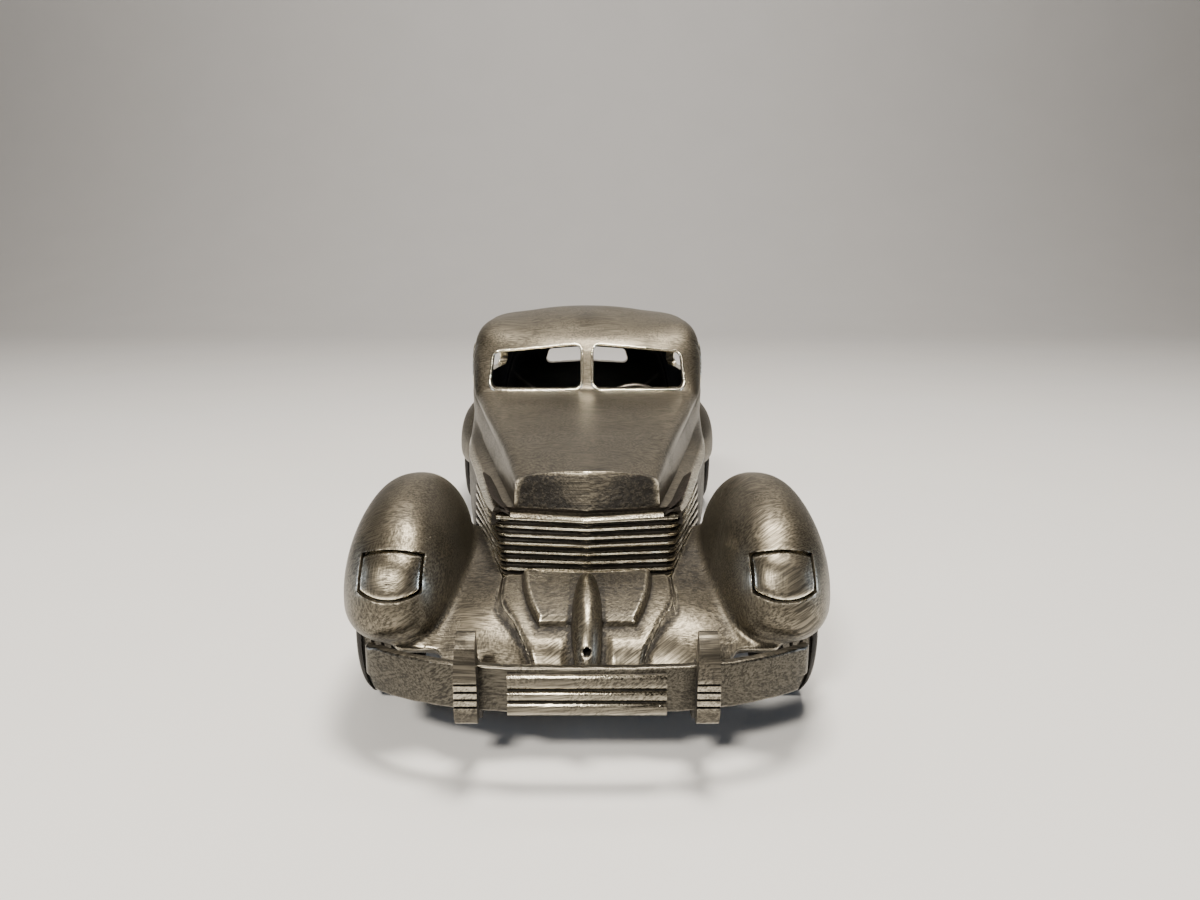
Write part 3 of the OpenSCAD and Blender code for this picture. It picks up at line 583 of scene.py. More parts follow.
def push(bm: bmesh.types.BMesh, by: Vector) -> bmesh.types.BMesh:
    """Extrudes a flat mesh into a closed solid.

    Args:
        bm: One flat face, or several side by side.
        by: How far and which way, in metres.

    Returns:
        The solid, its faces outwards.
    """
    made = bmesh.ops.extrude_face_region(bm, geom=bm.faces[:], use_keep_orig=True)
    moved = [g for g in made["geom"] if isinstance(g, bmesh.types.BMVert)]
    bmesh.ops.translate(bm, verts=moved, vec=by)
    bmesh.ops.recalc_face_normals(bm, faces=bm.faces)
    return bm


def soften(
    bm: bmesh.types.BMesh, width: float, segments: int = 2, angle: float = 28.0
) -> bmesh.types.BMesh:
    """Rounds the sharp edges of a mesh.

    Args:
        bm: The mesh.
        width: Width of the rounding in millimetres.
        segments: Steps across it.
        angle: Edges that turn by less, in degrees, are left.

    Returns:
        The mesh.
    """
    bm.normal_update()
    limit = math.radians(angle)
    sharp = [e for e in bm.edges if len(e.link_faces) == 2 and e.calc_face_angle(0) > limit]
    bmesh.ops.bevel(
        bm, geom=sharp, offset=width * MM, offset_type="OFFSET", affect="EDGES", segments=segments,
        profile=0.5, material=-1, clamp_overlap=True, miter_outer="ARC",
    )
    return bm


def prism(points: Sequence[Vector], by: Vector) -> bpy.types.Object:
    """Makes a closed solid from an outline, to cut with."""
    return new_object("cutter", push(outline(points), by))


def block(low: Vector, high: Vector, name: str) -> bpy.types.Object:
    """Makes a box between two corners, to cut with."""
    bm = bmesh.new()
    bmesh.ops.create_cube(bm, size=1.0)
    place = Matrix.Translation((low + high) / 2) @ Matrix.Diagonal((*(high - low), 1))
    bmesh.ops.transform(bm, verts=bm.verts, matrix=place)
    return new_object(name, bm)


def drum(centre: Vector, radius: float, length: float) -> bpy.types.Object:
    """Makes a round cutter along X, from its centre outwards to the left, all in metres."""
    bm = bmesh.new()
    bmesh.ops.create_circle(bm, cap_ends=True, segments=96, radius=radius)
    bmesh.ops.rotate(bm, verts=bm.verts, matrix=Matrix.Rotation(math.pi / 2, 3, "Y"))
    bmesh.ops.translate(bm, verts=bm.verts, vec=centre)
    return new_object("drum", push(bm, Vector((length, 0, 0))))


def relax(
    bm: bmesh.types.BMesh, verts: Sequence[bmesh.types.BMVert], turns: int, upright: bool = True
) -> None:
    """Moves corners towards their neighbours' middle, turns times; upright lets heights move too."""
    for _ in range(turns):
        bmesh.ops.smooth_vert(
            bm, verts=verts, factor=0.5, use_axis_x=True, use_axis_y=True, use_axis_z=upright
        )


def measure_relief(mesh: bpy.types.Mesh, blur: int = 2) -> np.ndarray:
    """Measures how far each corner of a mesh stands out of its neighbours.

    Args:
        mesh: The mesh.
        blur: How many times the measure is spread to the neighbours.

    Returns:
        Curvature in 1/mm at each vertex, positive where it stands out.
    """
    count = len(mesh.vertices)
    place, normal = np.empty(count * 3), np.empty(count * 3)
    mesh.vertices.foreach_get("co", place)
    mesh.vertices.foreach_get("normal", normal)
    place, normal = place.reshape(-1, 3) / MM, normal.reshape(-1, 3)
    ends = np.empty(len(mesh.edges) * 2, dtype=np.int64)
    mesh.edges.foreach_get("vertices", ends)
    a, b = ends.reshape(-1, 2).T
    span = place[a] - place[b]
    square = np.maximum((span**2).sum(1), 1e-4)
    curve, links = np.zeros(count), np.zeros(count)
    for one, other, sign in ((a, b, 1.0), (b, a, -1.0)):
        np.add.at(curve, one, 2 * sign * (normal[one] * span).sum(1) / square)
        np.add.at(links, one, 1.0)
    curve /= np.maximum(links, 1)
    curve = np.clip(curve, -6, 6)
    for _ in range(blur):
        total = curve * 2
        weight = np.full(count, 2.0)
        for one, other in ((a, b), (b, a)):
            np.add.at(total, one, curve[other])
            np.add.at(weight, one, 1.0)
        curve = total / weight
    return curve


@dataclass
class Piece:
    """One finished piece of the car.

    Attributes:
        name: Its name.
        finishes: Its finishes, the outside first.
        slot: The record's material slot; not used.
        body: The CAD body that it rides on.
        nodes: The CAD nodes that it stands for.
        blur: How far its edge wear spreads.
        gain: How readily its edges wear bright and its hollows stay dark.
        smooth_angle: Edges sharper than this, in degrees, stay sharp in the shading.
    """

    name: str
    finishes: tuple[Pewter, ...]
    slot: str
    body: str = CAR
    nodes: tuple[str, ...] = ()
    blur: int = 2
    gain: float = 0.45
    smooth_angle: float = 38.0

    def dress(
        self, obj: bpy.types.Object, patina_and_shade: Callable[[Vector], float] | None = None
    ) -> bpy.types.Object:
        """Gives an object its finish, wear, shading and place in the frame.

        Args:
            obj: The finished shape.
            patina_and_shade: Extra darkness by place in millimetres, or None: real patina together with
                painted shade.

        Returns:
            The same object.
        """
        obj.name = obj.data.name = self.name
        mesh = obj.data
        picks = [f.material_index for f in mesh.polygons]
        mesh.materials.clear()
        for finish in self.finishes:
            mesh.materials.append(finish.material())
        mesh.polygons.foreach_set("material_index", picks)
        relief = np.tanh(measure_relief(mesh, self.blur) * self.gain)
        mesh.attributes.new("relief", "FLOAT", "POINT").data.foreach_set("value", relief)
        layer = mesh.attributes.new("patina_and_shade", "FLOAT", "POINT")
        if patina_and_shade:
            values = [clamp(patina_and_shade(v.co / MM)) for v in mesh.vertices]
            layer.data.foreach_set("value", values)
        mesh.shade_smooth()
        mesh.set_sharp_from_angle(angle=math.radians(self.smooth_angle))
        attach(obj, self.body)
        if self.nodes:
            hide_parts(*self.nodes)
        log.info("%s: %d faces on %s", self.name, len(mesh.polygons), self.body)
        return obj


def mirror_x(bm: bmesh.types.BMesh) -> bmesh.types.BMesh:
    """Turns a left-hand mesh into a right-hand one, in place."""
    bmesh.ops.scale(bm, verts=bm.verts, vec=(-1, 1, 1))
    bmesh.ops.reverse_faces(bm, faces=bm.faces)
    return bm


def mirrored_copy(obj: bpy.types.Object, name: str) -> bpy.types.Object:
    """Makes the right-hand twin of a left-hand object."""
    bm = bmesh.new()
    bm.from_mesh(obj.data)
    return new_object(name, mirror_x(bm))


def dress_pair(
    left: bpy.types.Object,
    name: str,
    finish: Pewter,
    slot: str,
    patina_and_shade: Callable[[Vector], float] | None = None,
    **looks: float,
) -> list[bpy.types.Object]:
    """Dresses a left-hand piece and its right-hand twin.

    Args:
        left: The left-hand shape.
        name: The nodes' name without its side.
        finish: Their finish.
        slot: Their material slot.
        patina_and_shade: Extra darkness by place in millimetres, or None: real patina together with painted
            shade.
        **looks: Further values for Piece.

    Returns:
        The left piece and the right one.
    """
    right = mirrored_copy(left, f"{name}_right")
    return [
        Piece(f"{name}_{side}", (finish,), slot, nodes=(f"{name}_{side}",), **looks).dress(obj, patina_and_shade)
        for side, obj in (("left", left), ("right", right))
    ]


# ---- Body -----------------------------------------------------------------------------------


@dataclass
class BodyShell:
    """The hollow body casting: nose, bonnet, cabin and tail.

    Attributes:
        wall: Its thickness in millimetres.
        lines: Its long lines, sill to roof, as station, half width and height rows.
        nose_station: Station of the nose's edge.
        nose_end: Station where the nose's lead has faded out.
        nose_rows: Faces from the middle of the nose to its edge.
        nose_lead: How far the front end of each line stands ahead of the nose station.
        nose_point: How far the middle of the nose stands ahead of its edge, by line.
        louvres: Number of louvre ribs.
        louvre_depth: Depth of the gaps between them in millimetres.
        louvre_drop: How far the lowest gap starts below the lower side line.
        doors: Stations of the doors' upright shut lines.
        door_foot: Height of the shut line under the doors.
        line_depth: Depth of the shut lines.
        face_fades: Edges of the bonnet's dark front face: by station, by height twice, by half width.
        flank_fades: Edges of the flank's painted shade beside the wings: by station twice, by height twice,
            by half width.
    """

    wall: float = 1.2
    nose_station: float = 18.0
    nose_end: float = 26.0
    nose_rows: int = 12
    louvres: int = 7
    louvre_depth: float = 0.62
    louvre_drop: float = 0.4
    doors: tuple[float, ...] = (56.8, 70.2, 83.6)
    door_foot: float = 7.3
    line_depth: float = 0.16
    face_fades: Rows = ((18.62, 18.4), (18.2, 18.5), (21.75, 21.35), (6.75, 6.3))
    flank_fades: Rows = ((20.5, 24), (52, 44), (8.5, 10.5), (18.4, 17.4), (4.5, 6))
    nose_lead: Row = (1.5, 1.5, 0.5, -0.4, -0.3, -0.1, 0.0, 0.0)
    nose_point: Rows = ((0, 2.2), (2, 2.2), (3, 1.0), (7, 0.0))
    lines: tuple[Rows, ...] = (
        (  # sill
            (16.5, 7.2, 11), (26, 10, 10.8), (32, 11.6, 6.6), (36, 12.4, 5.4), (50, 13.2, 5.4),
            (75, 13.8, 5.4), (90, 13.2, 5.4), (100, 11.8, 5.6), (106, 9.6, 6.2), (110, 7.4, 7.2),
            (112.3, 4.6, 9.2), (113, 2.2, 10.8),
        ),
        (  # lower side
            (16.5, 7.55, 12.6), (22, 9.3, 12.6), (30, 11.6, 12), (36, 13, 11.4), (50, 14.9, 11),
            (75, 15.4, 11), (90, 14.6, 11), (100, 12.9, 11), (106, 10.8, 11), (110, 8.6, 11.2),
            (112.3, 5.2, 11.6), (113, 2.6, 11.8),
        ),
        (  # shoulder
            (17.5, 8.35, 17.7), (22, 9.9, 17.75), (35, 12.6, 17.9), (46, 14.7, 18.3), (60, 15.6, 19),
            (75, 15.7, 19), (90, 14.9, 18.2), (100, 13, 16.8), (106, 10.6, 15.6), (110, 8.2, 14.6),
            (112.3, 4.8, 13.6), (113, 2.4, 12.9),
        ),
        (  # inner edge of the shelf beside the bonnet
            (18.4, 6.9, 18.25), (34, 10.2, 18.6), (46, 13, 19.8), (54, 14.9, 21.6), (64, 15.4, 22.2),
            (75, 15.3, 22.2), (86, 14.2, 21.2), (94, 12.6, 19.6), (100, 11, 18.4), (106, 8.6, 17),
            (110, 6.2, 15.8), (112.3, 3.6, 14.2), (113, 1.8, 13.2),
        ),
        (  # belt
            (18.3, 6.8, 19.8), (34, 9.95, 21.2), (46, 12.7, 22.5), (54, 15, 24.4), (64, 15.4, 24.8),
            (75, 15.2, 24.8), (84, 13.8, 24.2), (90, 12.2, 22.8), (96, 10.4, 20.8), (100, 9.2, 19.6),
            (106, 6.8, 17.8), (110, 4.8, 16.4), (112.3, 2.7, 14.5), (113, 1.3, 13.4),
        ),
        (  # bonnet edge, windscreen post and roof rail
            (18.1, 6.35, 21.15), (27, 7.95, 22.4), (34, 9.6, 23.1), (43, 11.9, 23.9), (50, 13.1, 24.7),
            (51.5, 13.4, 25.3), (54.5, 14, 28.6), (57, 14.4, 31), (60, 14.5, 32.2), (66, 14.4, 32.6),
            (74, 14, 32.3), (80, 12.9, 30.2), (85, 11.4, 27.4), (90, 9.6, 24.3), (96, 7.6, 21.8),
            (100, 6.6, 20.4), (106, 4.8, 18.3), (110, 3.4, 16.7), (112.3, 1.9, 14.7), (113, 0.9, 13.5),
        ),
        (  # halfway in
            (18, 3.4, 21.75), (27, 4.2, 22.9), (34, 5, 23.6), (43, 6.3, 24.5), (50, 7, 25.1),
            (51, 7.1, 25.9), (54, 7.4, 30), (56.3, 7.5, 31.7), (60, 7.6, 33), (66, 7.6, 34.2),
            (70, 7.5, 34.45), (76, 7.2, 33.9), (82, 6.6, 31.1), (88, 5.7, 26.9), (92, 5.1, 24.2),
            (96, 4.5, 22.5), (101, 3.8, 20.7), (106, 2.9, 18.9), (110, 2, 17), (112.3, 1.1, 14.8),
            (113, 0.5, 13.6),
        ),
        (  # middle
            (18, 0, 21.9), (27, 0, 23.1), (34, 0, 23.8), (43, 0, 24.7), (50, 0, 25.2), (50.8, 0, 26),
            (54, 0, 30.5), (56, 0, 32), (60, 0, 33.8), (66, 0, 34.8), (70, 0, 35), (76, 0, 34.45),
            (82, 0, 31.6), (88, 0, 27.4), (92, 0, 24.7), (96, 0, 22.8), (101, 0, 21), (106, 0, 19.2),
            (110, 0, 17.3), (112.3, 0, 14.9), (113, 0, 13.7),
        ),
    )

    def corners(self, s: float) -> list[Vector]:
        """Finds where the long lines pass a station, as half widths and heights."""
        return [Vector((smooth(k, s, 1), smooth(k, s, 2))) for k in self.lines]

    def section(self, c: list[Vector], u: float) -> Vector:
        """Finds a point of the half section with corners c, at u from 0 at the sill to 7 on top."""
        i = min(6, int(u))
        t = u - i
        if i < 2:
            return through(c[:3], i, t)
        if i < 4:
            return c[i].lerp(c[i + 1], t)
        return through([*c[4:], Vector((-c[6].x, c[6].y))], i - 4, t)

    def lead(self, u: float) -> float:
        """How far a point of the nose edge stands ahead of the nose station."""
        i = min(6, int(u))
        return mix(self.nose_lead[i], self.nose_lead[i + 1], u - i)

    def place(self, c: list[Vector], s: float, u: float, side: float) -> Vector:
        """Places a point of the skin at station s and line u, side being 1 on the left, -1 on the right."""
        p = self.section(c, u)
        fade = clamp((self.nose_end - s) / (self.nose_end - self.nose_station))
        return DATUM.at(side * max(0.0, p.x), s - self.lead(u) * fade, p.y)

    def nose(self, c: list[Vector], u: float, side: float, t: float) -> Vector:
        """Places a point of the V-shaped nose, from its middle at t = 0 to its edge at t = 1."""
        edge = self.place(c, self.nose_station, u, side)
        point = smooth(self.nose_point, u, 1) if u > 2 else self.nose_point[0][1]
        middle = Vector((0, (DATUM.nose + self.nose_station - point) * MM, edge.z))
        return middle.lerp(edge, t)

    def skin(self, around: list[float], along: list[float], closed: bool = False) -> bmesh.types.BMesh:
        """Makes the outer skin.

        Args:
            around: The u values from sill to top.
            along: The stations from the nose edge to the tail.
            closed: Whether the underside and the tail are closed.

        Returns:
            The skin in the frame, its faces outwards.
        """
        sections = [self.corners(s) for s in along]
        n, rows = len(around) - 1, self.nose_rows
        tail = DATUM.at(0, along[-1] + 0.12, 12.4)

        def at(i: int, j: int) -> Vector:
            """Place of corner i round and j along."""
            side = 1.0 if i <= n else -1.0
            u = around[min(i, 2 * n - i)]
            if j < rows:
                found = self.nose(sections[0], u, side, j / rows)
            elif j - rows < len(along):
                found = self.place(sections[j - rows], along[j - rows], u, side)
            else:
                last = self.place(sections[-1], along[-1], u, side)
                found = last.lerp(tail, (j - rows - len(along) + 1) / 3)
            return found

        bm = grid(2 * n, rows + len(along) + 2, at)
        if closed:
            bmesh.ops.holes_fill(bm, edges=[e for e in bm.edges if e.is_boundary], sides=0)
            bmesh.ops.triangulate(bm, faces=[f for f in bm.faces if len(f.verts) > 4])
        bmesh.ops.recalc_face_normals(bm, faces=bm.faces)
        if sum(f.normal.z * f.calc_area() for f in bm.faces if f.calc_center_median().z > 0.02) < 0:
            bmesh.ops.reverse_faces(bm, faces=bm.faces)
        return bm

    def volume(self, grow: float) -> bpy.types.Object:
        """Makes the closed outside of the body, a little larger, to cut its neighbours with."""
        around = spread((0, 1, 4), (1, 2, 6), (2, 3, 1), (3, 4, 2), (4, 7, 8))
        along = spread((18, 34, 12), (34, 49, 6), (49, 60, 8), (60, 113, 24))
        bm = self.skin(around, along, closed=True)
        bm.normal_update()
        for v, move in [(v, v.normal * grow * MM) for v in bm.verts]:
            v.co += move
        return new_object("body_volume", bm)

    def gap(self, x: float, s: float, z: float) -> float:
        """How deep the skin is cut between the louvre ribs, 0 to 1.

        Args:
            x: Half width in millimetres.
            s: Station.
            z: Drawn height.

        Returns:
            The share of the full depth.
        """
        low = smooth(self.lines[1], s, 2) - self.louvre_drop
        high = smooth(self.lines[2], s, 2)
        if not low < z < high:
            return 0.0
        phase = (z - low) / (high - low) * self.louvres % 1
        depth = ease(0.01, 0.13, phase) - ease(0.5, 0.74, phase)
        spine = 1 - 0.75 * math.exp(-((x / 0.42) ** 2))
        return depth * ease(34, 30.5, s) * spine

    def shut_line(self, s: float, z: float, x: float) -> float:
        """How deep the skin is grooved along the doors' shut lines, 0 to 1."""
        if z < self.door_foot - 0.4 or x < 9:
            return 0.0
        upright = max(math.exp(-(((s - d) / 0.13) ** 2)) for d in self.doors)
        upright *= ease(31.3, 30.9, z) * ease(self.door_foot - 0.2, self.door_foot, z)
        foot = math.exp(-(((z - self.door_foot) / 0.13) ** 2))
        inside = ease(self.doors[0] - 0.1, self.doors[0], s) * ease(self.doors[-1] + 0.1, self.doors[-1], s)
        return max(upright, foot * inside)

    def relieve(self, bm: bmesh.types.BMesh) -> None:
        """Rounds the nose's corners, then sinks louvre gaps and shut lines into the skin."""
        near = [
            v for v in bm.verts
            if abs(v.co.x) > 5.5 * MM and v.co.y < (DATUM.nose + 20.5) * MM
            and DATUM.lift(11) * MM < v.co.z < DATUM.lift(17.2) * MM
        ]
        relax(bm, near, 5, upright=False)
        bm.normal_update()
        moves = []
        for v in bm.verts:
            x, s, z = abs(v.co.x) / MM, v.co.y / MM - DATUM.nose, v.co.z / MM
            drawn = DATUM.drawn_sill + (z - DATUM.sill)
            depth = self.louvre_depth * self.gap(x, s, drawn) + self.line_depth * self.shut_line(s, z, x)
            if depth > 0.001:
                moves.append((v, v.normal * -depth * MM))
        for v, move in moves:
            v.co += move

    def panes(self) -> list[tuple[str, list[Vector]]]:
        """Lists the left-hand window outlines as corner points.

        Returns:
            Each outline's name and its corners as station or half width, and drawn height.
        """
        return [
            ("screen", [Vector(p) for p in ((1.65, 26.2), (11.6, 26.1), (11.4, 28.8), (1.65, 29.7))]),
            ("back", [Vector(p) for p in ((1.4, 25.6), (6.1, 25.4), (5.7, 26.6), (1.4, 26.9))]),
            ("front_side", [Vector(p) for p in ((58.3, 26.2), (68.2, 26.2), (68.2, 29.2), (59.6, 29.2))]),
            ("rear_side", [Vector(p) for p in ((72.3, 26.2), (80.2, 26.2), (77.6, 29.2), (72.3, 29.2))]),
        ]

    def rim(self, corners: list[Vector], radius: float, steps: int = 7) -> list[Vector]:
        """Rounds an outline's corners outwards by a radius.

        Args:
            corners: Centres of the corner arcs, in order.
            radius: Radius of the arcs in millimetres.
            steps: Points on each arc.

        Returns:
            The outline's points, evenly ordered.
        """
        count = len(corners)
        area = sum(corners[k].cross(corners[(k + 1) % count]) for k in range(count))
        sign = 1.0 if area > 0 else -1.0
        points = []
        for k, corner in enumerate(corners):
            before, after = corner - corners[k - 1], corners[(k + 1) % count] - corner
            start = math.atan2(-sign * before.x, sign * before.y)
            end = math.atan2(-sign * after.x, sign * after.y)
            turn = (end - start + math.pi) % (2 * math.pi) - math.pi
            for j in range(steps):
                a = start + turn * j / (steps - 1)
                points.append(corner + radius * Vector((math.cos(a), math.sin(a))))
        return points

    def cutters(self) -> bpy.types.Object:
        """Makes the solids that cut all the windows and the slot for the rear axle."""
        bm = bmesh.new()
        for name, corners in self.panes():
            radius = {"screen": 0.85, "back": 0.75}.get(name, 0.9)
            points = self.rim(corners, radius)
            for side in (-1, 1):
                if name in ("screen", "back"):
                    start, reach = (47, 14) if name == "screen" else (82, 18)
                    ring = [DATUM.at(side * p.x, start, p.y) for p in points]
                    join(bm, push(outline(ring), Vector((0, reach * MM, 0))))
                else:
                    ring = [DATUM.at(side * 10, p.x, p.y) for p in points]
                    join(bm, push(outline(ring), Vector((side * 8 * MM, 0, 0))))
        bmesh.ops.recalc_face_normals(bm, faces=bm.faces)
        return new_object("window_cutters", bm)

    def beads(self, skin: bmesh.types.BMesh) -> bpy.types.Object:
        """Lays a fine raised bead round every window.

        Args:
            skin: The uncut skin that the beads lie on.

        Returns:
            One object with all the beads.
        """
        tree = BVHTree.FromBMesh(skin)
        curve = bpy.data.curves.new("beads", "CURVE")
        curve.dimensions, curve.bevel_depth, curve.bevel_resolution = "3D", 0.2 * MM, 3
        for name, corners in self.panes():
            radius = {"screen": 1.0, "back": 0.9}.get(name, 1.05)
            rough, fine = self.rim(corners, radius, 9), []
            for here, there in zip(rough, rough[1:] + rough[:1]):
                steps = 8 if (there - here).length > 0.6 else 1
                fine += [here.lerp(there, k / steps) for k in range(steps)]
            for side in (-1, 1):
                ring = []
                for p in fine:
                    if name == "screen":
                        start, aim = DATUM.at(side * p.x, 40, p.y), Vector((0, 1, 0))
                    elif name == "back":
                        start, aim = DATUM.at(side * p.x, 110, p.y), Vector((0, -1, 0))
                    else:
                        start, aim = DATUM.at(side * 25, p.x, p.y), Vector((-side, 0, 0))
                    hit = tree.ray_cast(start, aim)
                    if hit[0] is not None:
                        ring.append(hit[0] - hit[1] * 0.03 * MM)
                spline = curve.splines.new("POLY")
                spline.points.add(len(ring) - 1)
                for point, at in zip(spline.points, ring):
                    point.co = (*at, 1)
                spline.use_cyclic_u = True
        holder = bpy.data.objects.new("beads", curve)
        bpy.context.scene.collection.objects.link(holder)
        mesh = bpy.data.meshes.new_from_object(holder.evaluated_get(bpy.context.evaluated_depsgraph_get()))
        bpy.data.objects.remove(holder)
        bpy.data.curves.remove(curve)
        made = bpy.data.objects.new("beads", mesh)
        bpy.context.scene.collection.objects.link(made)
        return made

    def patina_and_shade(self, at: Vector) -> float:
        """Darkens the bonnet's front face, less in its middle, which is a painted highlight; darkens the
        nose's flanks beside the wings as painted shade, and the louvre gaps.
        """
        x, s, z = abs(at.x), at.y - DATUM.nose, at.z
        face = math.prod(ease(*ends, v) for ends, v in zip(self.face_fades, (s, z, z, x)))
        # Painted highlight: the middle of the bonnet's front face is kept lighter.
        middle = ease(0.5, 4.2, x + 0.7 * (20.6 - z))
        # Painted shade: the nose's flanks beside the wings are darkened.
        flank_shade = math.prod(ease(*ends, v) for ends, v in zip(self.flank_fades, (s, s, z, z, x)))
        gap = ease(0.25, 0.8, self.gap(x, s, DATUM.drawn_sill + z - DATUM.sill))
        return max(face * mix(0.45, 1.0, middle), 0.55 * flank_shade, 0.95 * gap)

    def build(self) -> bpy.types.Object:
        """Makes the finished body casting."""
        around = spread(
            (0, 0.3, 2), (0.3, 0.42, 6), (0.42, 0.85, 3), (0.85, 1, 10), (1, 2, 76), (2, 3, 4), (3, 4, 6),
            (4, 5, 12), (5, 6, 9), (6, 7, 9),
        )
        along = spread(
            (18, 20, 8), (20, 34, 34), (34, 49, 18), (49, 56, 26), (56, 84, 44), (84, 113, 36)
        )
        fine = {d + k * 0.11 for d in self.doors for k in (-2, -1, 0, 1, 2)}
        along = sorted({s for s in along if all(abs(s - d) > 0.3 for d in self.doors)} | fine)
        bm = self.skin(around, along)
        beads = self.beads(bm)
        self.relieve(bm)
        shell = new_object("body_casting", bm)
        wall = shell.modifiers.new("wall", "SOLIDIFY")
        wall.thickness, wall.offset, wall.material_offset = self.wall * MM, -1, 1
        wall.use_even_offset = False
        for finish in (SHELL, INSIDE):
            shell.data.materials.append(finish.material())
        settle(shell)
        carve(shell, self.cutters())
        made = new_object("body_casting", join(take_mesh(shell), take_mesh(beads)))
        piece = Piece("body_casting", (SHELL, INSIDE), "body_pewter", nodes=("body_shell",))
        return piece.dress(made, self.patina_and_shade)


# ---- Wings ----------------------------------------------------------------------------------


@dataclass(frozen=True)
class Pontoon:
    """An egg-shaped swelling along the car.

    Attributes:
        x: Half width of its middle line in millimetres.
        z: Drawn height of its middle line.
        rows: Station, then its size inwards, outwards, up and down.
        start: Its foremost station, and the station where its rounded front ends.
        finish: The station where its rounded tail starts, and its last station.
        squareness: Power of its section's curve; 1 is an ellipse.
    """

    x: float
    z: float
    rows: Rows
    start: tuple[float, float]
    finish: tuple[float, float]
    squareness: float = 0.9

    def sizes(self, s: float) -> list[float]:
        """Reads the four sizes at a station, its rounded ends included."""
        at = clamp(s, self.start[1], self.finish[0])
        share = 1.0
        if s < self.start[1]:
            share = math.sqrt(max(0.0, (s - self.start[0]) / (self.start[1] - self.start[0])))
        elif s > self.finish[0]:
            share = math.sqrt(max(0.0, (self.finish[1] - s) / (self.finish[1] - self.finish[0])))
        return [smooth(self.rows, at, k) * share for k in (1, 2, 3, 4)]

    def place(self, turn: float, run: float) -> Vector:
        """Places a point of the skin.

        Args:
            turn: Its turn round the middle line in radians.
            run: How far back it is, 0 to 1.

        Returns:
            The place in metres.
        """
        s = mix(self.start[0], self.finish[1], (1 - math.cos(math.pi * run)) / 2)
        inward, outward, up, down = self.sizes(s)
        c, h = math.cos(turn), math.sin(turn)
        wide, tall = (outward if c > 0 else inward), (up if h > 0 else down)
        x = self.x + math.copysign(wide * abs(c) ** self.squareness, c)
        z = self.z + math.copysign(tall * abs(h) ** self.squareness, h)
        return DATUM.at(x, s, z)

    def mesh(self, columns: int = 112, rows: int = 96) -> bmesh.types.BMesh:
        """Makes the closed skin, its faces outwards."""
        return sphere(columns, rows, self.place)


@dataclass(frozen=True)
class Apron:
    """The bulged skirt between the front wings; the gearbox cover is its middle.

    Attributes:
        line: Its outer line from the nose down to its foot, as station and drawn height.
        wall: Its thickness in millimetres.
        seam: The edge of the gearbox cover, as half width and drawn height.
        seam_gap: Width of the gap along that edge, each side.
        roll: How far its edges roll back along the gap.
    """

    line: Rows = (
        (30, 13.3), (23, 13.1), (17.2, 12.4), (13, 12), (9.6, 11.1), (7.2, 9.7), (5.7, 7.9), (5.4, 6.3),
    )
    wall: float = 1.2
    seam: Rows = ((4.3, 5), (4.4, 7), (5, 9), (6.3, 10.6), (7.7, 11.6), (8.2, 14))
    seam_gap: float = 0.11
    roll: float = 0.3

    def outer(self, t: float) -> Vector:
        """Finds the station and drawn height at t stretches down the outer line."""
        i = min(len(self.line) - 2, int(t))
        return through([Vector(p) for p in self.line], i, t - i)

    def normal(self, t: float) -> Vector:
        """Finds which way the skirt faces at t, as station and height."""
        way = self.outer(min(7.0, t + 0.05)) - self.outer(max(0.0, t - 0.05))
        return Vector((way.y, -way.x)).normalized()

    def to_seam(self, x: float, z: float) -> float:
        """Measures how far a point lies outside the gearbox cover, in millimetres."""
        best, inside = 1e9, False
        p = Vector((x, z))
        for a, b in zip(self.seam, self.seam[1:]):
            a, b = Vector(a), Vector(b)
            t = clamp((p - a).dot(b - a) / (b - a).length_squared)
            near = a + (b - a) * t
            if (p - near).length < best:
                best = (p - near).length
                way = b - a
                inside = way.x * (p.y - a.y) - way.y * (p.x - a.x) > 0
        return -best if inside else best

    def surface(self, x: float, t: float, rise: float) -> Vector:
        """Places a point of the outside, moved out by rise millimetres."""
        p = self.outer(t) + self.normal(t) * rise
        return DATUM.at(x, p.x, p.y)

    def sheet(
        self, columns: int, rows: int, where: Callable[[int, int], tuple[float, float, float]]
    ) -> bmesh.types.BMesh:
        """Makes a closed sheet with a shaped outside and a plain back.

        Args:
            columns: Cells across.
            rows: Cells down.
            where: Half width, t down the line and rise of corner (i, j).

        Returns:
            The sheet, its faces outwards.
        """
        def back(i: int, j: int) -> Vector:
            """Place of corner (i, j) on the back."""
            x, t, _ = where(i, j)
            return self.surface(x, t, -self.wall)

        bm = grid(columns, rows, lambda i, j: self.surface(*where(i, j)))
        join(bm, grid(columns, rows, back))
        bmesh.ops.bridge_loops(bm, edges=[e for e in bm.edges if e.is_boundary])
        bmesh.ops.recalc_face_normals(bm, faces=bm.faces)
        return bm

    def edge(self, gap: float) -> list[Vector]:
        """Lists the outline of the gearbox cover, moved outwards by gap, at station 0."""
        right = [Vector(p) for p in self.seam]
        fine = [through(right, i, k / 5) for i in range(len(right) - 1) for k in range(5)] + [right[-1]]
        return [DATUM.at(p.x + gap, 0, p.y) for p in fine] + [
            DATUM.at(-p.x - gap, 0, p.y) for p in reversed(fine)
        ]


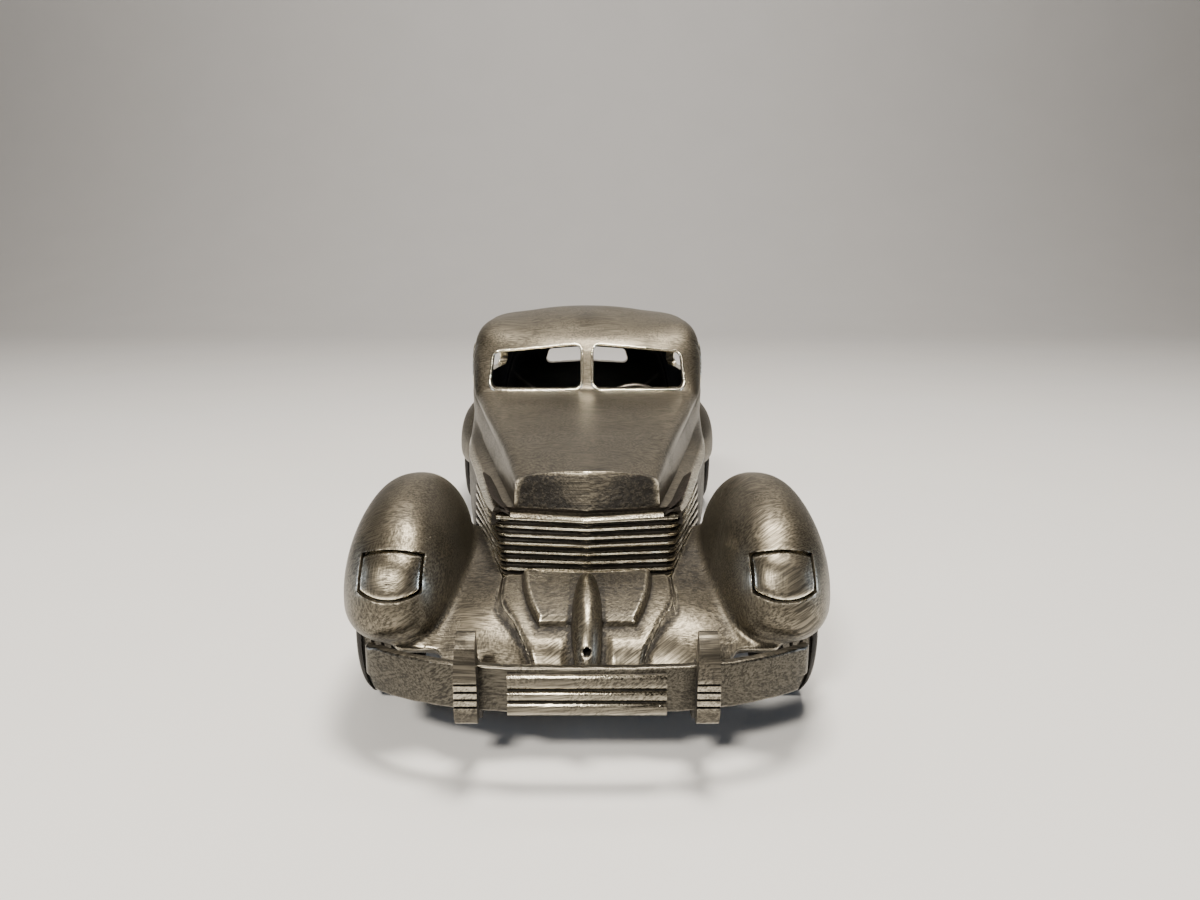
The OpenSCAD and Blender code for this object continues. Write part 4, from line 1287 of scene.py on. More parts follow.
@dataclass
class FrontWing:
    """A front wing with its half of the apron, its wheel well and its headlamp pocket.

    Attributes:
        pontoon: The wing's swelling.
        apron: The apron that it carries half of.
        bulge: How far the apron bulges between the gearbox cover and the wing.
        foot_start: Half width where the apron's foot starts to rise.
        foot_end: Half width where it stops rising.
        axle_s: Station of the axle.
        axle_z: Height of the axle.
        arch: Radius of the room for the wheel.
        mouth: Radius of the opening in the wing's outer side.
        inner_x: Half width where the room for the wheel starts.
        lip: Thickness of the wing at its opening.
        taper: Length and narrowing of the room's outer end.
        voxel: Grain of the fusing, in millimetres.
        lamp_x: How far the headlamp lies outside the wing's middle line.
        lamp_z: Drawn height of the headlamp.
        lamp_half: Half the width and half the height of its cover.
        lamp_arch: How far the cover's upper and lower edges bow.
        lamp_floor: Station of the pocket's floor.
        groove: Width of the groove round the cover.
        tail_station: Station behind which only the wing's outer part is kept.
    """

    pontoon: Pontoon = Pontoon(
        x=DATUM.half_width - 5.7, z=11.8,
        rows=(
            (5.8, 0.9, 0.9, 1.1, 0.7), (6.3, 2.1, 2.2, 2.8, 1.6), (7.2, 3.1, 3.3, 4.4, 2.3),
            (8.6, 3.8, 4.2, 5.6, 2.9), (11, 4.4, 5.1, 7.3, 3.6), (15, 4.75, 5.7, 8.65, 4.2),
            (20, 4.9, 5.91, 9.25, 4.7), (24, 4.8, 5.86, 8.6, 4.9), (28, 4.3, 5.3, 6.8, 4.6),
            (32, 3.3, 4, 4.3, 3.6), (35.5, 1.7, 2, 1.9, 2), (37, 0.6, 0.7, 0.6, 0.8),
        ),
        start=(5.7, 6.3), finish=(36, 37.1),
    )
    apron: Apron = Apron()
    bulge: float = 0.5
    foot_start: float = 10.6
    foot_end: float = 12.8
    axle_s: float = 19.5
    axle_z: float = 8.1
    arch: float = 8.9
    mouth: float = 7.53
    inner_x: float = 15.7
    lip: float = 0.7
    taper: tuple[float, float] = (1.7, 1.0)
    voxel: float = 0.18
    lamp_x: float = 0.15
    lamp_z: float = 15.4
    lamp_half: tuple[float, float] = (2.45, 1.66)
    lamp_arch: float = 0.55
    lamp_floor: float = 10.4
    groove: float = 0.26
    tail_station: float = 17.3

    def skirt(self) -> bmesh.types.BMesh:
        """Makes the left half of the apron as a closed sheet."""
        columns, rows = 72, 72
        low_x, high_x = 3.9, self.pontoon.x

        def where(i: int, j: int) -> tuple[float, float, float]:
            """Half width, t and rise of corner i across and j down."""
            x = mix(low_x, high_x, i / columns)
            t = j / rows * mix(7.0, 5.3, ease(self.foot_start, self.foot_end, x))
            out = clamp(self.apron.to_seam(x, self.apron.outer(t).y), 0, 9)
            rise = self.bulge * math.sin(math.pi * clamp((x - 4.6) / 7.6)) * ease(2.3, 4, t)
            return x, t, rise - self.apron.roll * math.exp(-((out / 0.3) ** 2))

        return self.apron.sheet(columns, rows, where)

    def lamp_edge(self, grow: float) -> list[Vector]:
        """Lists the outline of the headlamp cover, grown in millimetres, at station 0."""
        x = self.pontoon.x + self.lamp_x
        w, h = (size + grow for size in self.lamp_half)
        points = []
        for sign in (1, -1):
            for k in range(17):
                u = sign * (k / 8 - 1)
                z = DATUM.lift(self.lamp_z) + sign * (h - self.lamp_arch * u * u)
                points.append(DATUM.flat(x + w * u, 0, z))
        return points

    def body(self) -> bpy.types.Object:
        """Fuses the pontoon and the skirt, with a soft hollow where they meet."""
        swell, skirt = self.pontoon.mesh(), self.skirt()
        trees = [BVHTree.FromBMesh(swell), BVHTree.FromBMesh(skirt)]
        made = new_object("front_wing", join(swell, skirt))
        fuse = made.modifiers.new("fuse", "REMESH")
        fuse.mode, fuse.voxel_size = "VOXEL", self.voxel * MM
        bm = take_mesh(settle(made))
        for reach, turns in ((1.5, 14), (0.8, 16)):
            near = [
                v for v in bm.verts
                if all((tree.find_nearest(v.co)[3] or 0) < reach * MM for tree in trees)
            ]
            relax(bm, near, turns)
        relax(bm, bm.verts, 2)
        return new_object("front_wing", bm)

    def tapered_end(self, centre: Vector) -> bpy.types.Object:
        """Makes the outer end of the wheel's room, which narrows towards the lip."""
        bm = bmesh.new()
        length, narrowing = self.taper
        bmesh.ops.create_cone(
            bm, cap_ends=True, segments=96, radius1=self.arch * MM,
            radius2=(self.arch - narrowing) * MM, depth=length * MM,
        )
        bmesh.ops.rotate(bm, verts=bm.verts, matrix=Matrix.Rotation(math.pi / 2, 3, "Y"))
        bmesh.ops.translate(bm, verts=bm.verts, vec=centre + Vector((length / 2 * MM, 0, 0)))
        return new_object("tapered_end", bm)

    def room(self) -> list[bpy.types.Object]:
        """Makes the solids for the wheel, the axle, the gearbox cover and the headlamp cover."""
        hub = DATUM.flat(self.inner_x, self.axle_s, self.axle_z)
        reach = DATUM.half_width - self.lip - self.inner_x
        bay = DATUM.flat(-1, self.axle_s - self.arch * 0.44, -1)
        bay_end = DATUM.flat(self.inner_x + 0.1, 46, self.axle_z + 2.3)
        return [
            drum(hub, self.arch * MM, (reach - self.taper[0]) * MM),
            self.tapered_end(hub + Vector(((reach - self.taper[0] - 0.01) * MM, 0, 0))),
            drum(hub, self.mouth * MM, 9 * MM),
            block(bay, bay_end, "axle_bay"),
            block(DATUM.flat(-1, self.tail_station, -1), DATUM.flat(7.5, 60, 40), "behind"),
            prism(self.apron.edge(self.apron.seam_gap), Vector((0, 18 * MM, 0))),
            prism(self.lamp_edge(self.groove), Vector((0, self.lamp_floor * MM, 0))),
        ]

    def patina_and_shade(self, at: Vector) -> float:
        """Darkens the headlamp pocket, the seams, the wheel well, and the crease by the nose as painted
        shade.
        """
        x, s, z = abs(at.x), at.y - DATUM.nose, at.z
        mid = self.pontoon.x + self.lamp_x
        u = (x - mid) / self.lamp_half[0]
        above = abs(z - DATUM.lift(self.lamp_z)) - self.lamp_half[1] + self.lamp_arch * u * u
        beside = abs(x - mid) - self.lamp_half[0]
        pocket = ease(self.groove + 0.12, self.groove - 0.06, max(beside, above)) * ease(12.5, 12.0, s)
        seam = 0.97 * ease(0.55, 0.22, abs(self.apron.to_seam(x, z))) * ease(12, 11, x)
        well = ease(self.arch + 0.3, self.arch - 0.1, math.hypot(s - self.axle_s, z - self.axle_z))
        well *= ease(self.inner_x - 2.5, self.inner_x, x)
        well *= ease(DATUM.half_width - 0.2, DATUM.half_width - 0.8, x)
        # Painted shade: the valley between the nose and the wing is darkened.
        crease_shade = 0.85 * ease(13.4, 10.2, x + 0.2 * abs(z - 12)) * ease(9, 15, s)
        joint = 0.45 * ease(1.6, 0.2, abs(x - 11.6 - 0.12 * (s - 8))) * ease(13.5, 11, z)
        return max(pocket, seam, well, crease_shade, joint)

    def build(self) -> list[bpy.types.Object]:
        """Makes both front wings."""
        left = carve(self.body(), *self.room(), BodyShell().volume(0.05))
        return dress_pair(left, "front_wing", WING, "body_pewter", self.patina_and_shade, blur=7, gain=0.28)

    def lamp_covers(self) -> list[bpy.types.Object]:
        """Makes the covers of the hidden headlamps, which follow the wings' curve."""
        swell = self.pontoon.mesh()
        tree = BVHTree.FromBMesh(swell)
        swell.free()
        cells = 40
        x0 = self.pontoon.x + self.lamp_x
        w, h = self.lamp_half

        def at(i: int, j: int) -> Vector:
            """Place of corner i across and j up the face."""
            u, v = 2 * i / cells - 1, 2 * j / cells - 1
            height = h - self.lamp_arch * u * u
            start = DATUM.flat(x0 + w * u, -2, DATUM.lift(self.lamp_z) + height * v)
            hit = tree.ray_cast(start, Vector((0, 1, 0)))[0]
            crown = 0.16 * (1 - u**6) * (1 - v**6) - 0.06
            return hit - Vector((0, crown * MM, 0))

        bm = grid(cells, cells, at)
        rim = [e for e in bm.edges if e.is_boundary]
        grown = bmesh.ops.extrude_edge_only(bm, edges=rim)
        back = [g for g in grown["geom"] if isinstance(g, bmesh.types.BMVert)]
        for v in back:
            v.co.y = (DATUM.nose + self.lamp_floor - 0.05) * MM
        bmesh.ops.holes_fill(bm, edges=[e for e in bm.edges if e.is_boundary], sides=0)
        bmesh.ops.recalc_face_normals(bm, faces=bm.faces)
        soften(bm, 0.11, 3, 45)
        return dress_pair(new_object("headlamp_cover", bm), "headlamp_cover", LAMP, "body_pewter")


@dataclass
class GearboxCover:
    """The cover in the middle of the apron, with raised upper panels and a pointed spine.

    Attributes:
        apron: The apron that it lies in.
        panel: Outline of the left raised panel, as half width and drawn height.
        lift: How far the panels stand out, in millimetres.
        spine: Rings of the spine: station, drawn height, half width and half thickness.
        hole: Drawn height and radius of the crank hole.
    """

    apron: Apron = Apron()
    panel: Rows = ((1.45, 10.55), (4.1, 10.5), (4.75, 11.1), (7.0, 13.4), (1.45, 13.4))
    lift: float = 0.5
    spine: Rows = (
        (4.9, 6.6, 0.85, 1.1), (5.1, 7.4, 0.95, 1.3), (6, 8.9, 1.16, 1.5), (7.6, 10.4, 1.32, 1.65),
        (9.6, 11.6, 1.3, 1.6), (12, 12.5, 1.05, 1.3), (13.8, 12.9, 0.7, 0.9), (14.8, 13.0, 0.35, 0.4),
    )
    hole: tuple[float, float] = (9.7, 0.34)

    def inside(self, x: float, z: float) -> float:
        """Measures how far a point lies inside the left raised panel, in millimetres."""
        p, best = Vector((x, z)), 1e9
        count = len(self.panel)
        for k in range(count - 1):
            a, b = Vector(self.panel[k]), Vector(self.panel[(k + 1) % count])
            way = (b - a).normalized()
            best = min(best, way.x * (p.y - a.y) - way.y * (p.x - a.x))
        return best

    def panels(self) -> bpy.types.Object:
        """Makes the cover itself."""
        columns, rows = 190, 120

        def where(i: int, j: int) -> tuple[float, float, float]:
            """Half width, t and rise of corner i across and j down."""
            x, t = mix(-8.6, 8.6, i / columns), 2 + 5 * j / rows
            z = self.apron.outer(t).y
            d = self.inside(abs(x), z)
            rise = self.lift * ease(-0.12, 0.14, d) + 0.16 * ease(0.1, 0.3, d) * ease(1.3, 0.4, d)
            low = clamp((11.2 - z) / 5.2)
            rise += 0.4 * math.sin(math.pi * low) ** 2 * ease(1.3, 2.3, abs(x)) * ease(-0.02, -0.9, d)
            out = max(0.0, -self.apron.to_seam(abs(x), z))
            rise -= self.apron.roll * math.exp(-((out / 0.26) ** 2))
            return x, t, rise

        sheet = new_object("gearbox_cover", self.apron.sheet(columns, rows, where))
        carve(sheet, prism(self.apron.edge(-0.02), Vector((0, 18 * MM, 0))), keep="INTERSECT")
        return carve(sheet, BodyShell().volume(0.05))

    def patina_and_shade(self, at: Vector) -> float:
        """Darkens the channel beside the spine, the step under the panels and the seams."""
        x, z = abs(at.x), at.z
        channel = ease(1.95, 1.5, x) * 0.95
        step = 0.9 * ease(-0.7, -0.15, self.inside(x, z)) * ease(0.12, -0.1, self.inside(x, z))
        seam = 0.95 * ease(0.42, 0.16, abs(self.apron.to_seam(x, z)))
        top = 0.75 * ease(11.2, 12.4, z)
        face = 0.5 * ease(0.32, 0.9, self.inside(x, z))
        return max(channel, step, seam, top, face)

    def point(self) -> bpy.types.Object:
        """Makes the spine with its crank hole."""
        rings = [Vector(r[:3]) for r in self.spine]
        thick = [Vector((r[3], 0)) for r in self.spine]

        def place(turn: float, run: float) -> Vector:
            """Places a point for its turn round the spine and its run up it."""
            k = clamp(run * 7, 0, 6.9999)
            s, z, half = through(rings, int(k), k % 1)
            depth = through(thick, int(k), k % 1).x
            shut = math.sqrt(clamp(1 - (1 - clamp(k / 0.35)) ** 2)) * math.sqrt(clamp((7 - k) / 1.1))
            across, out = math.cos(turn) * half, math.sin(turn) * depth
            across *= 1 - 0.1 * max(0.0, math.sin(turn))
            return DATUM.at(across * shut, s - out * 0.6 * shut, z + out * 0.8 * shut)

        made = new_object("prow_fairing", sphere(56, 90, place))
        height, radius = self.hole
        bore = bmesh.new()
        bmesh.ops.create_circle(bore, cap_ends=True, segments=40, radius=radius * MM)
        bmesh.ops.rotate(bore, verts=bore.verts, matrix=Matrix.Rotation(math.pi / 2, 3, "X"))
        bmesh.ops.translate(bore, verts=bore.verts, vec=DATUM.at(0, 0, height))
        hole = new_object("crank_hole", push(bore, Vector((0, 6.6 * MM, 0))))
        carve(made, hole, BodyShell().volume(0.05))
        return made

    def hole_patina(self, at: Vector) -> float:
        """Blackens the crank hole and the foot of the spine."""
        away = math.hypot(at.x, at.z - DATUM.lift(self.hole[0]))
        hole = ease(self.hole[1] + 0.16, self.hole[1] + 0.02, away)
        foot = 0.6 * ease(1.0, 1.3, abs(at.x))
        return max(hole, foot)

    def build(self) -> list[bpy.types.Object]:
        """Makes the cover and its spine."""
        cover = Piece("gearbox_cover", (APRON,), "body_pewter", nodes=("gearbox_cover",), gain=0.35, blur=4)
        spine = Piece("prow_fairing", (WING,), "body_pewter", nodes=("prow_fairing",))
        return [cover.dress(self.panels(), self.patina_and_shade), spine.dress(self.point(), self.hole_patina)]


@dataclass
class RearWing:
    """A rear wing with its round wheel opening.

    Attributes:
        pontoon: The wing's swelling.
        axle_s: Station of the axle.
        axle_z: Height of the axle.
        arch: Radius of the opening.
    """

    pontoon: Pontoon = Pontoon(
        x=12.5, z=10.6,
        rows=(
            (76.5, 3, 3.3, 2.8, 1.0), (78, 3, 4.9, 4.6, 2.6), (81, 3, 7.0, 6.8, 3.7),
            (85, 3, 8.7, 8.6, 4.2), (89, 3, 9.51, 9.6, 4.3), (93, 3, 9.51, 9.8, 4.3),
            (97, 3, 9.5, 9.3, 4.3), (101, 3, 8.8, 7.7, 4.1), (105, 3, 7.0, 5.3, 3.6),
            (108, 3, 4.6, 2.8, 2.8), (109.6, 3, 2.6, 1.0, 1.8),
        ),
        start=(76.0, 78.4), finish=(107.6, 109.9),
    )
    axle_s: float = 93.3
    axle_z: float = 8.1
    arch: float = 8.9

    def patina_and_shade(self, at: Vector) -> float:
        """Darkens the wheel opening and the line along the body."""
        s, z = at.y - DATUM.nose, at.z
        away = math.hypot(s - self.axle_s, z - self.axle_z)
        well = ease(self.arch + 0.05, self.arch - 0.1, away)
        return max(well, 0.36 * ease(0.9, 0.1, abs(abs(at.x) - 15.2)) * ease(12, 14, z))

    def build(self) -> list[bpy.types.Object]:
        """Makes both rear wings."""
        solid = new_object("rear_wing", self.pontoon.mesh(144, 128))
        inner = block(DATUM.flat(-30, 70, -5), DATUM.flat(self.pontoon.x - 0.5, 115, 50), "inner")
        hub = DATUM.flat(self.pontoon.x - 1, self.axle_s, self.axle_z)
        left = carve(solid, drum(hub, self.arch * MM, 14 * MM), inner, BodyShell().volume(0.05))
        return dress_pair(left, "rear_wing", WING, "body_pewter", self.patina_and_shade)


# ---- Bumpers --------------------------------------------------------------------------------


@dataclass
class Bumper:
    """A bumper: its bar, ribbed plate, overriders and irons.

    Attributes:
        rear: Whether it is the rear one, which has no plate.
        front: How far the bar's middle lies behind the bumper's foremost plane.
        half: Half its length before the curled ends.
        curl: How far its ends sweep back.
        thick: Thickness of the bar.
        height: Height of the bar.
        z: Height of the bar's middle above the ground.
        guard_x: Half the distance between the overriders.
        guard_width: Width of an overrider.
        guard_height: Height of an overrider.
        guard_lift: How far the overriders' middle lies above the bar's.
        grooves: Number of grooves across an overrider's front.
        groove_start: Height of the lowest one, as a share of the overrider's height.
        groove_pitch: Distance from one groove to the next.
        plate_width: Width of the ribbed plate.
    """

    rear: bool = False
    front: float = 0.9
    half: float = 17.9
    curl: float = 4.2
    thick: float = 0.9
    height: float = 3.8
    z: float = 8.2
    guard_x: float = 9.4
    guard_width: float = 1.8
    guard_height: float = 7.4
    guard_lift: float = 0.9
    grooves: int = 4
    groove_start: float = 0.24
    groove_pitch: float = 0.62
    plate_width: float = 12.4

    @property
    def end(self) -> str:
        """The word that starts the names of this bumper's pieces."""
        return "rear" if self.rear else "front"

    @property
    def guard_low(self) -> float:
        """Height of the overriders' lower end."""
        return self.z + self.guard_lift - self.guard_height / 2

    @property
    def groove_levels(self) -> list[float]:
        """Heights of the overriders' grooves."""
        lowest = self.guard_low + self.guard_height * self.groove_start
        return [lowest + k * self.groove_pitch for k in range(self.grooves)]

    def depth(self, at: Vector) -> float:
        """How far a point lies behind the plane at this end of the car, in millimetres."""
        return -DATUM.nose - abs(at.y)

    def placed(self, bm: bmesh.types.BMesh) -> bmesh.types.BMesh:
        """Moves a mesh drawn in millimetres from the foremost plane into the frame."""
        bmesh.ops.scale(bm, verts=bm.verts, vec=(MM, MM, MM))
        bmesh.ops.translate(bm, verts=bm.verts, vec=(0, CAD_BOX[0][1], 0))
        if self.rear:
            bmesh.ops.scale(bm, verts=bm.verts, vec=(1, -1, 1))
            bmesh.ops.reverse_faces(bm, faces=bm.faces)
        return bm

    def path(self) -> list[Vector]:
        """Lists the bar's front face from its right end to its left, seen from above."""
        half = [
            Vector((self.half * u, self.front + self.curl * u**3))
            for u in (k / 40 for k in range(1, 41))
        ]
        tip = half[-1]
        half += [tip + Vector(p) for p in ((0.22, 0.2), (0.4, 0.46), (0.5, 0.8), (0.46, 1.14))]
        return [Vector((-p.x, p.y)) for p in reversed(half)] + [Vector((0, self.front))] + half

    def bar(self) -> bmesh.types.BMesh:
        """Sweeps the bar's rounded section along its path."""
        path, corner = self.path(), 0.24
        section = []
        for k, (side, level) in enumerate(((1, 1), (0, 1), (0, -1), (1, -1))):
            for step in range(5):
                a = math.radians(90 * k + 22.5 * step)
                out = (corner + (self.thick - 2 * corner) * side, level * (self.height / 2 - corner))
                section.append(Vector((out[0] + corner * math.cos(a), out[1] + corner * math.sin(a))))
        count = len(section)

        def at(i: int, j: int) -> Vector:
            """Place of corner i round the section and j along the bar."""
            here, near, far = path[j], path[max(0, j - 1)], path[min(len(path) - 1, j + 1)]
            way = (far - near).normalized()
            back = Vector((-way.y, way.x))
            p = section[i % count]
            worn = 1.1 * ease(0.965, 1.0, abs(here.x) / self.half) ** 2
            level = p.y + (worn if p.y < 0 else -0.12 * worn)
            level += 0.03 * math.sin(here.x * 2.3) * math.sin(here.x * 0.9 + 1)
            depth = p.x * (0.92 if j in (0, len(path) - 1) else 1.0)
            return Vector((here.x + back.x * depth, here.y + back.y * depth, self.z + level))

        bm = grid(count, len(path) - 1, at)
        bmesh.ops.remove_doubles(bm, verts=bm.verts, dist=1e-5)
        bmesh.ops.holes_fill(bm, edges=[e for e in bm.edges if e.is_boundary], sides=0)
        bmesh.ops.recalc_face_normals(bm, faces=bm.faces)
        return bm

    def plate(self) -> bmesh.types.BMesh:
        """Makes the ribbed plate: three rounded ribs over a flat back."""
        low, back = self.z - self.height / 2 + 0.02, self.front + 0.4
        ribs = ((0.0, 1.0, 0.42), (1.22, 2.0, 0.42), (2.24, 3.36, 0.4))
        outer = [Vector((0, back, low))]
        for start, stop, front in ribs:
            for k in range(9):
                a = math.pi * k / 8
                bow = math.sin(a) ** 0.45
                rise = mix(start, stop, (1 - math.cos(a)) / 2)
                outer.append(Vector((0, mix(0.86, front, bow), low + rise)))
        outer.append(Vector((0, back, low + ribs[-1][1])))
        bm = outline([p + Vector((-self.plate_width / 2, 0, 0)) for p in outer])
        push(bm, Vector((self.plate_width, 0, 0)))
        return soften(bm, 0.08, 2, 50)

    def guard(self) -> bmesh.types.BMesh:
        """Makes the left overrider, narrower at its top and grooved across its front."""
        low, high = self.guard_low, self.guard_height
        side = (
            (1.5, 0), (0.9, 0.05), (0.35, 0.4), (0.1, 1), (0, 1.9), (0, high - 3), (0.12, high - 1.9),
            (0.45, high - 0.9), (0.9, high - 0.3), (1.5, high), (1.85, high), (1.85, 0),
        )
        left = self.guard_x - self.guard_width / 2
        bm = push(outline([Vector((left, y, low + z)) for y, z in side]), Vector((self.guard_width, 0, 0)))
        heights = self.groove_levels
        last = heights[-1]
        for level in [low + 0.5, low + 1.2, *heights, last + 0.6, last + 1.6, low + high - 0.9]:
            bmesh.ops.bisect_plane(
                bm, geom=[*bm.verts, *bm.edges, *bm.faces], plane_co=(0, 0, level), plane_no=(0, 0, 1)
            )
        for v in bm.verts:
            part = v.co.z - low
            share = mix(1.0, 0.84, ease(3.6, high, part)) * mix(0.94, 1.0, ease(0, 0.9, part))
            v.co.x = self.guard_x + (v.co.x - self.guard_x) * share
        soften(bm, 0.14, 3, 40)
        solid = new_object("overrider", bm)
        for level in heights:
            start = Vector((self.guard_x - self.guard_width, -1.04, level - 0.005))
            stop = Vector((self.guard_x + self.guard_width, 0.32, level + 0.205))
            carve(solid, block(start, stop, "groove"))
        return take_mesh(solid)

    def iron(self) -> bmesh.types.BMesh:
        """Makes the left iron, from the base plate's end up behind the bar."""
        plate, end = 3.8, (8.0 if self.rear else 12.0)
        side = (
            (2.55, self.z + 1.5), (2.55, 6.5), (4.2, plate + 0.4), (end, plate + 0.4), (end, plate + 1.3),
            (4.8, plate + 1.3), (3.5, 6.9), (3.5, self.z + 1.5),
        )
        left = self.guard_x - 0.8
        bm = push(outline([Vector((left, y, z)) for y, z in side]), Vector((1.6, 0, 0)))
        return soften(bm, 0.12, 2, 20)

    def guard_patina(self, at: Vector) -> float:
        """Blackens the overriders' grooves."""
        away = min(abs(at.z - level - 0.1) for level in self.groove_levels)
        return ease(0.14, 0.1, away) * ease(0.06, 0.2, self.depth(at))

    def plate_patina(self, at: Vector) -> float:
        """Blackens the hollows between the plate's ribs."""
        return 0.97 * ease(0.56, 0.74, self.depth(at))

    def bar_patina(self, at: Vector) -> float:
        """Darkens the bar's underside and the places beside the overriders a little."""
        x = abs(at.x)
        return 0.3 * ease(-0.9, -1.8, at.z - self.z) + 0.12 * ease(6, 9.4, x) * ease(11, 9.6, x)

    def build(self) -> list[bpy.types.Object]:
        """Makes every piece of this bumper."""
        name, slot = f"{self.end}_bumper_bar", "bumper_pewter"
        bar = new_object(name, self.placed(self.bar()))
        pieces = [Piece(name, (BUMPER,), slot, nodes=(name,), blur=1).dress(bar, self.bar_patina)]
        if not self.rear:
            name = "front_bumper_plate"
            plate = new_object(name, self.placed(self.plate()))
            pieces.append(Piece(name, (RIBS,), slot, nodes=(name,), blur=1).dress(plate, self.plate_patina))
        iron = new_object("iron", self.placed(self.iron()))
        pieces += dress_pair(iron, f"{self.end}_bumper_iron", CHASSIS, "chassis_pewter", blur=1)
        guard, name = new_object("guard", self.placed(self.guard())), f"{self.end}_overrider"
        return pieces + dress_pair(guard, name, RIBS, slot, self.guard_patina, blur=1, smooth_angle=30)


# ---- Wheels ---------------------------------------------------------------------------------


@dataclass
class Wheelset:
    """Two tyres and two discs at the ends of one axle.

    Attributes:
        end: front or rear.
        body: The CAD body that turns.
        s: Station of the axle.
        radius: Radius of the tyres.
        inner: Half width of the tyres' inner faces.
        outer: Half width of their outer faces.
        disc: Radius of the discs.
        holes: Number of vent holes.
        hole_ring: Radius of the ring that they lie on.
        grooves: Number of tread grooves.
    """

    end: str
    body: str
    s: float
    radius: float = 8.1
    inner: float = 16.5
    outer: float = 20.9
    disc: float = 5.3
    holes: int = 14
    hole_ring: float = 3.75
    grooves: int = 4

    def away(self, at: Vector) -> float:
        """How far a point lies from the axle's middle line, in millimetres."""
        return math.hypot(at.y - DATUM.nose - self.s, at.z - self.radius)

    def turned(self, profile: Sequence[tuple[float, float]], steps: int, closed: bool) -> bmesh.types.BMesh:
        """Spins a profile round the axle.

        Args:
            profile: Radius and half width of each point.
            steps: Faces round.
            closed: Whether the profile is a loop.

        Returns:
            The turned mesh on the left, in the frame.
        """
        bm = bmesh.new()
        verts = [bm.verts.new(DATUM.flat(x, self.s, self.radius + r)) for r, x in profile]
        pairs = list(zip(verts, verts[1:])) + ([(verts[-1], verts[0])] if closed else [])
        edges = [bm.edges.new(pair) for pair in pairs]
        bmesh.ops.spin(
            bm, geom=[*verts, *edges], cent=DATUM.flat(0, self.s, self.radius), axis=(1, 0, 0),
            dvec=(0, 0, 0), angle=2 * math.pi, steps=steps, use_merge=True, use_duplicate=False,
        )
        bmesh.ops.remove_doubles(bm, verts=bm.verts, dist=0.002 * MM)
        bmesh.ops.recalc_face_normals(bm, faces=bm.faces)
        return bm

    def tyre(self) -> bmesh.types.BMesh:
        """Makes the left tyre with its tread grooves and a moulded ring on each wall."""
        r, a, b = self.radius, self.inner, self.outer
        wall = [
            (self.disc, 0.5), (5.7, 0.3), (6.0, 0.12), (6.4, 0.03), (6.75, 0.0), (6.85, 0.06), (6.95, 0.0),
            (7.3, 0.08), (7.65, 0.27), (7.9, 0.5), (8.04, 0.72),
        ]
        tread = []
        gap = (b - a) / (self.grooves + 1)
        for k in range(1, self.grooves + 1):
            x = a + gap * k
            half = [(r, 0.16), (r - 0.05, 0.12), (r - 0.3, 0.1)]
            tread += [(p, x - q) for p, q in half] + [(p, x + q) for p, q in reversed(half)]
        profile = [(p, a + q) for p, q in wall] + tread + [(p, b - q) for p, q in reversed(wall)]
        return self.turned(profile, 160, True)

    def wheel(self) -> bpy.types.Object:
        """Makes the left disc with its hub cap and vent holes."""
        face = self.outer - 0.7
        profile = [
            (0, face + 0.78), (0.5, face + 0.76), (1.0, face + 0.69), (1.5, face + 0.52), (1.85, face + 0.28),
            (2.0, face + 0.08), (2.06, face - 0.1), (2.3, face - 0.12), (3.0, face - 0.06), (3.75, face),
            (4.4, face + 0.05), (4.7, face + 0.18), (4.9, face + 0.22), (5.15, face + 0.2),
            (self.disc - 0.02, face + 0.08), (self.disc - 0.02, face - 1.2), (4.6, face - 1.2),
            (3.4, face - 1.0), (2.2, face - 1.1), (2, self.inner + 0.2), (1.05, self.inner + 0.2),
            (1.05, face - 1.4), (0, face - 1.4),
        ]
        made = new_object("disc", self.turned(profile, 112, False))
        cut = bmesh.new()
        for k in range(self.holes):
            one = bmesh.new()
            bmesh.ops.create_cone(
                one, cap_ends=True, segments=24, radius1=0.36 * MM, radius2=0.36 * MM, depth=4 * MM
            )
            bmesh.ops.rotate(one, verts=one.verts, matrix=Matrix.Rotation(math.pi / 2, 3, "Y"))
            bmesh.ops.translate(one, verts=one.verts, vec=(0, 0, self.hole_ring * MM))
            turn = Matrix.Rotation(2 * math.pi * k / self.holes, 3, "X")
            bmesh.ops.rotate(one, verts=one.verts, matrix=turn)
            bmesh.ops.translate(one, verts=one.verts, vec=DATUM.flat(face, self.s, self.radius))
            join(cut, one)
        return carve(made, new_object("vents", cut))

    def tread_patina(self, at: Vector) -> float:
        """Darkens the tread grooves and the tyre's foot against the disc."""
        away = self.away(at)
        inside = ease(self.radius - 0.08, self.radius - 0.24, away) * ease(7.7, 7.8, away)
        return max(0.95 * inside, 0.8 * ease(5.9, 5.5, away))

    def disc_patina(self, at: Vector) -> float:
        """Darkens the ring round the hub cap and the vent holes."""
        ring = 0.9 * ease(0.35, 0.1, abs(self.away(at) - 2.2))
        return max(ring, 0.85 * ease(self.outer - 0.9, self.outer - 1.3, abs(at.x)))

    def build(self) -> list[bpy.types.Object]:
        """Makes both tyres and both discs."""
        tyre, disc = new_object("tyre", self.tyre()), self.wheel()
        made = []
        for side in ("left", "right"):
            for word, source, finish, patina_and_shade in (
                ("tyre", tyre, TYRE, self.tread_patina), ("disc", disc, WHEEL, self.disc_patina)
            ):
                name = f"{self.end}_{word}_{side}"
                obj = source if side == "left" else mirrored_copy(source, name)
                made.append((name, obj, finish, patina_and_shade))
        return [
            Piece(name, (finish,), "wheel_pewter", body=self.body, nodes=(name,), blur=1).dress(obj, patina_and_shade)
            for name, obj, finish, patina_and_shade in sorted(made, key=lambda row: row[0])
        ]


# ---- Cabin, chassis and other plain pieces --------------------------------------------------


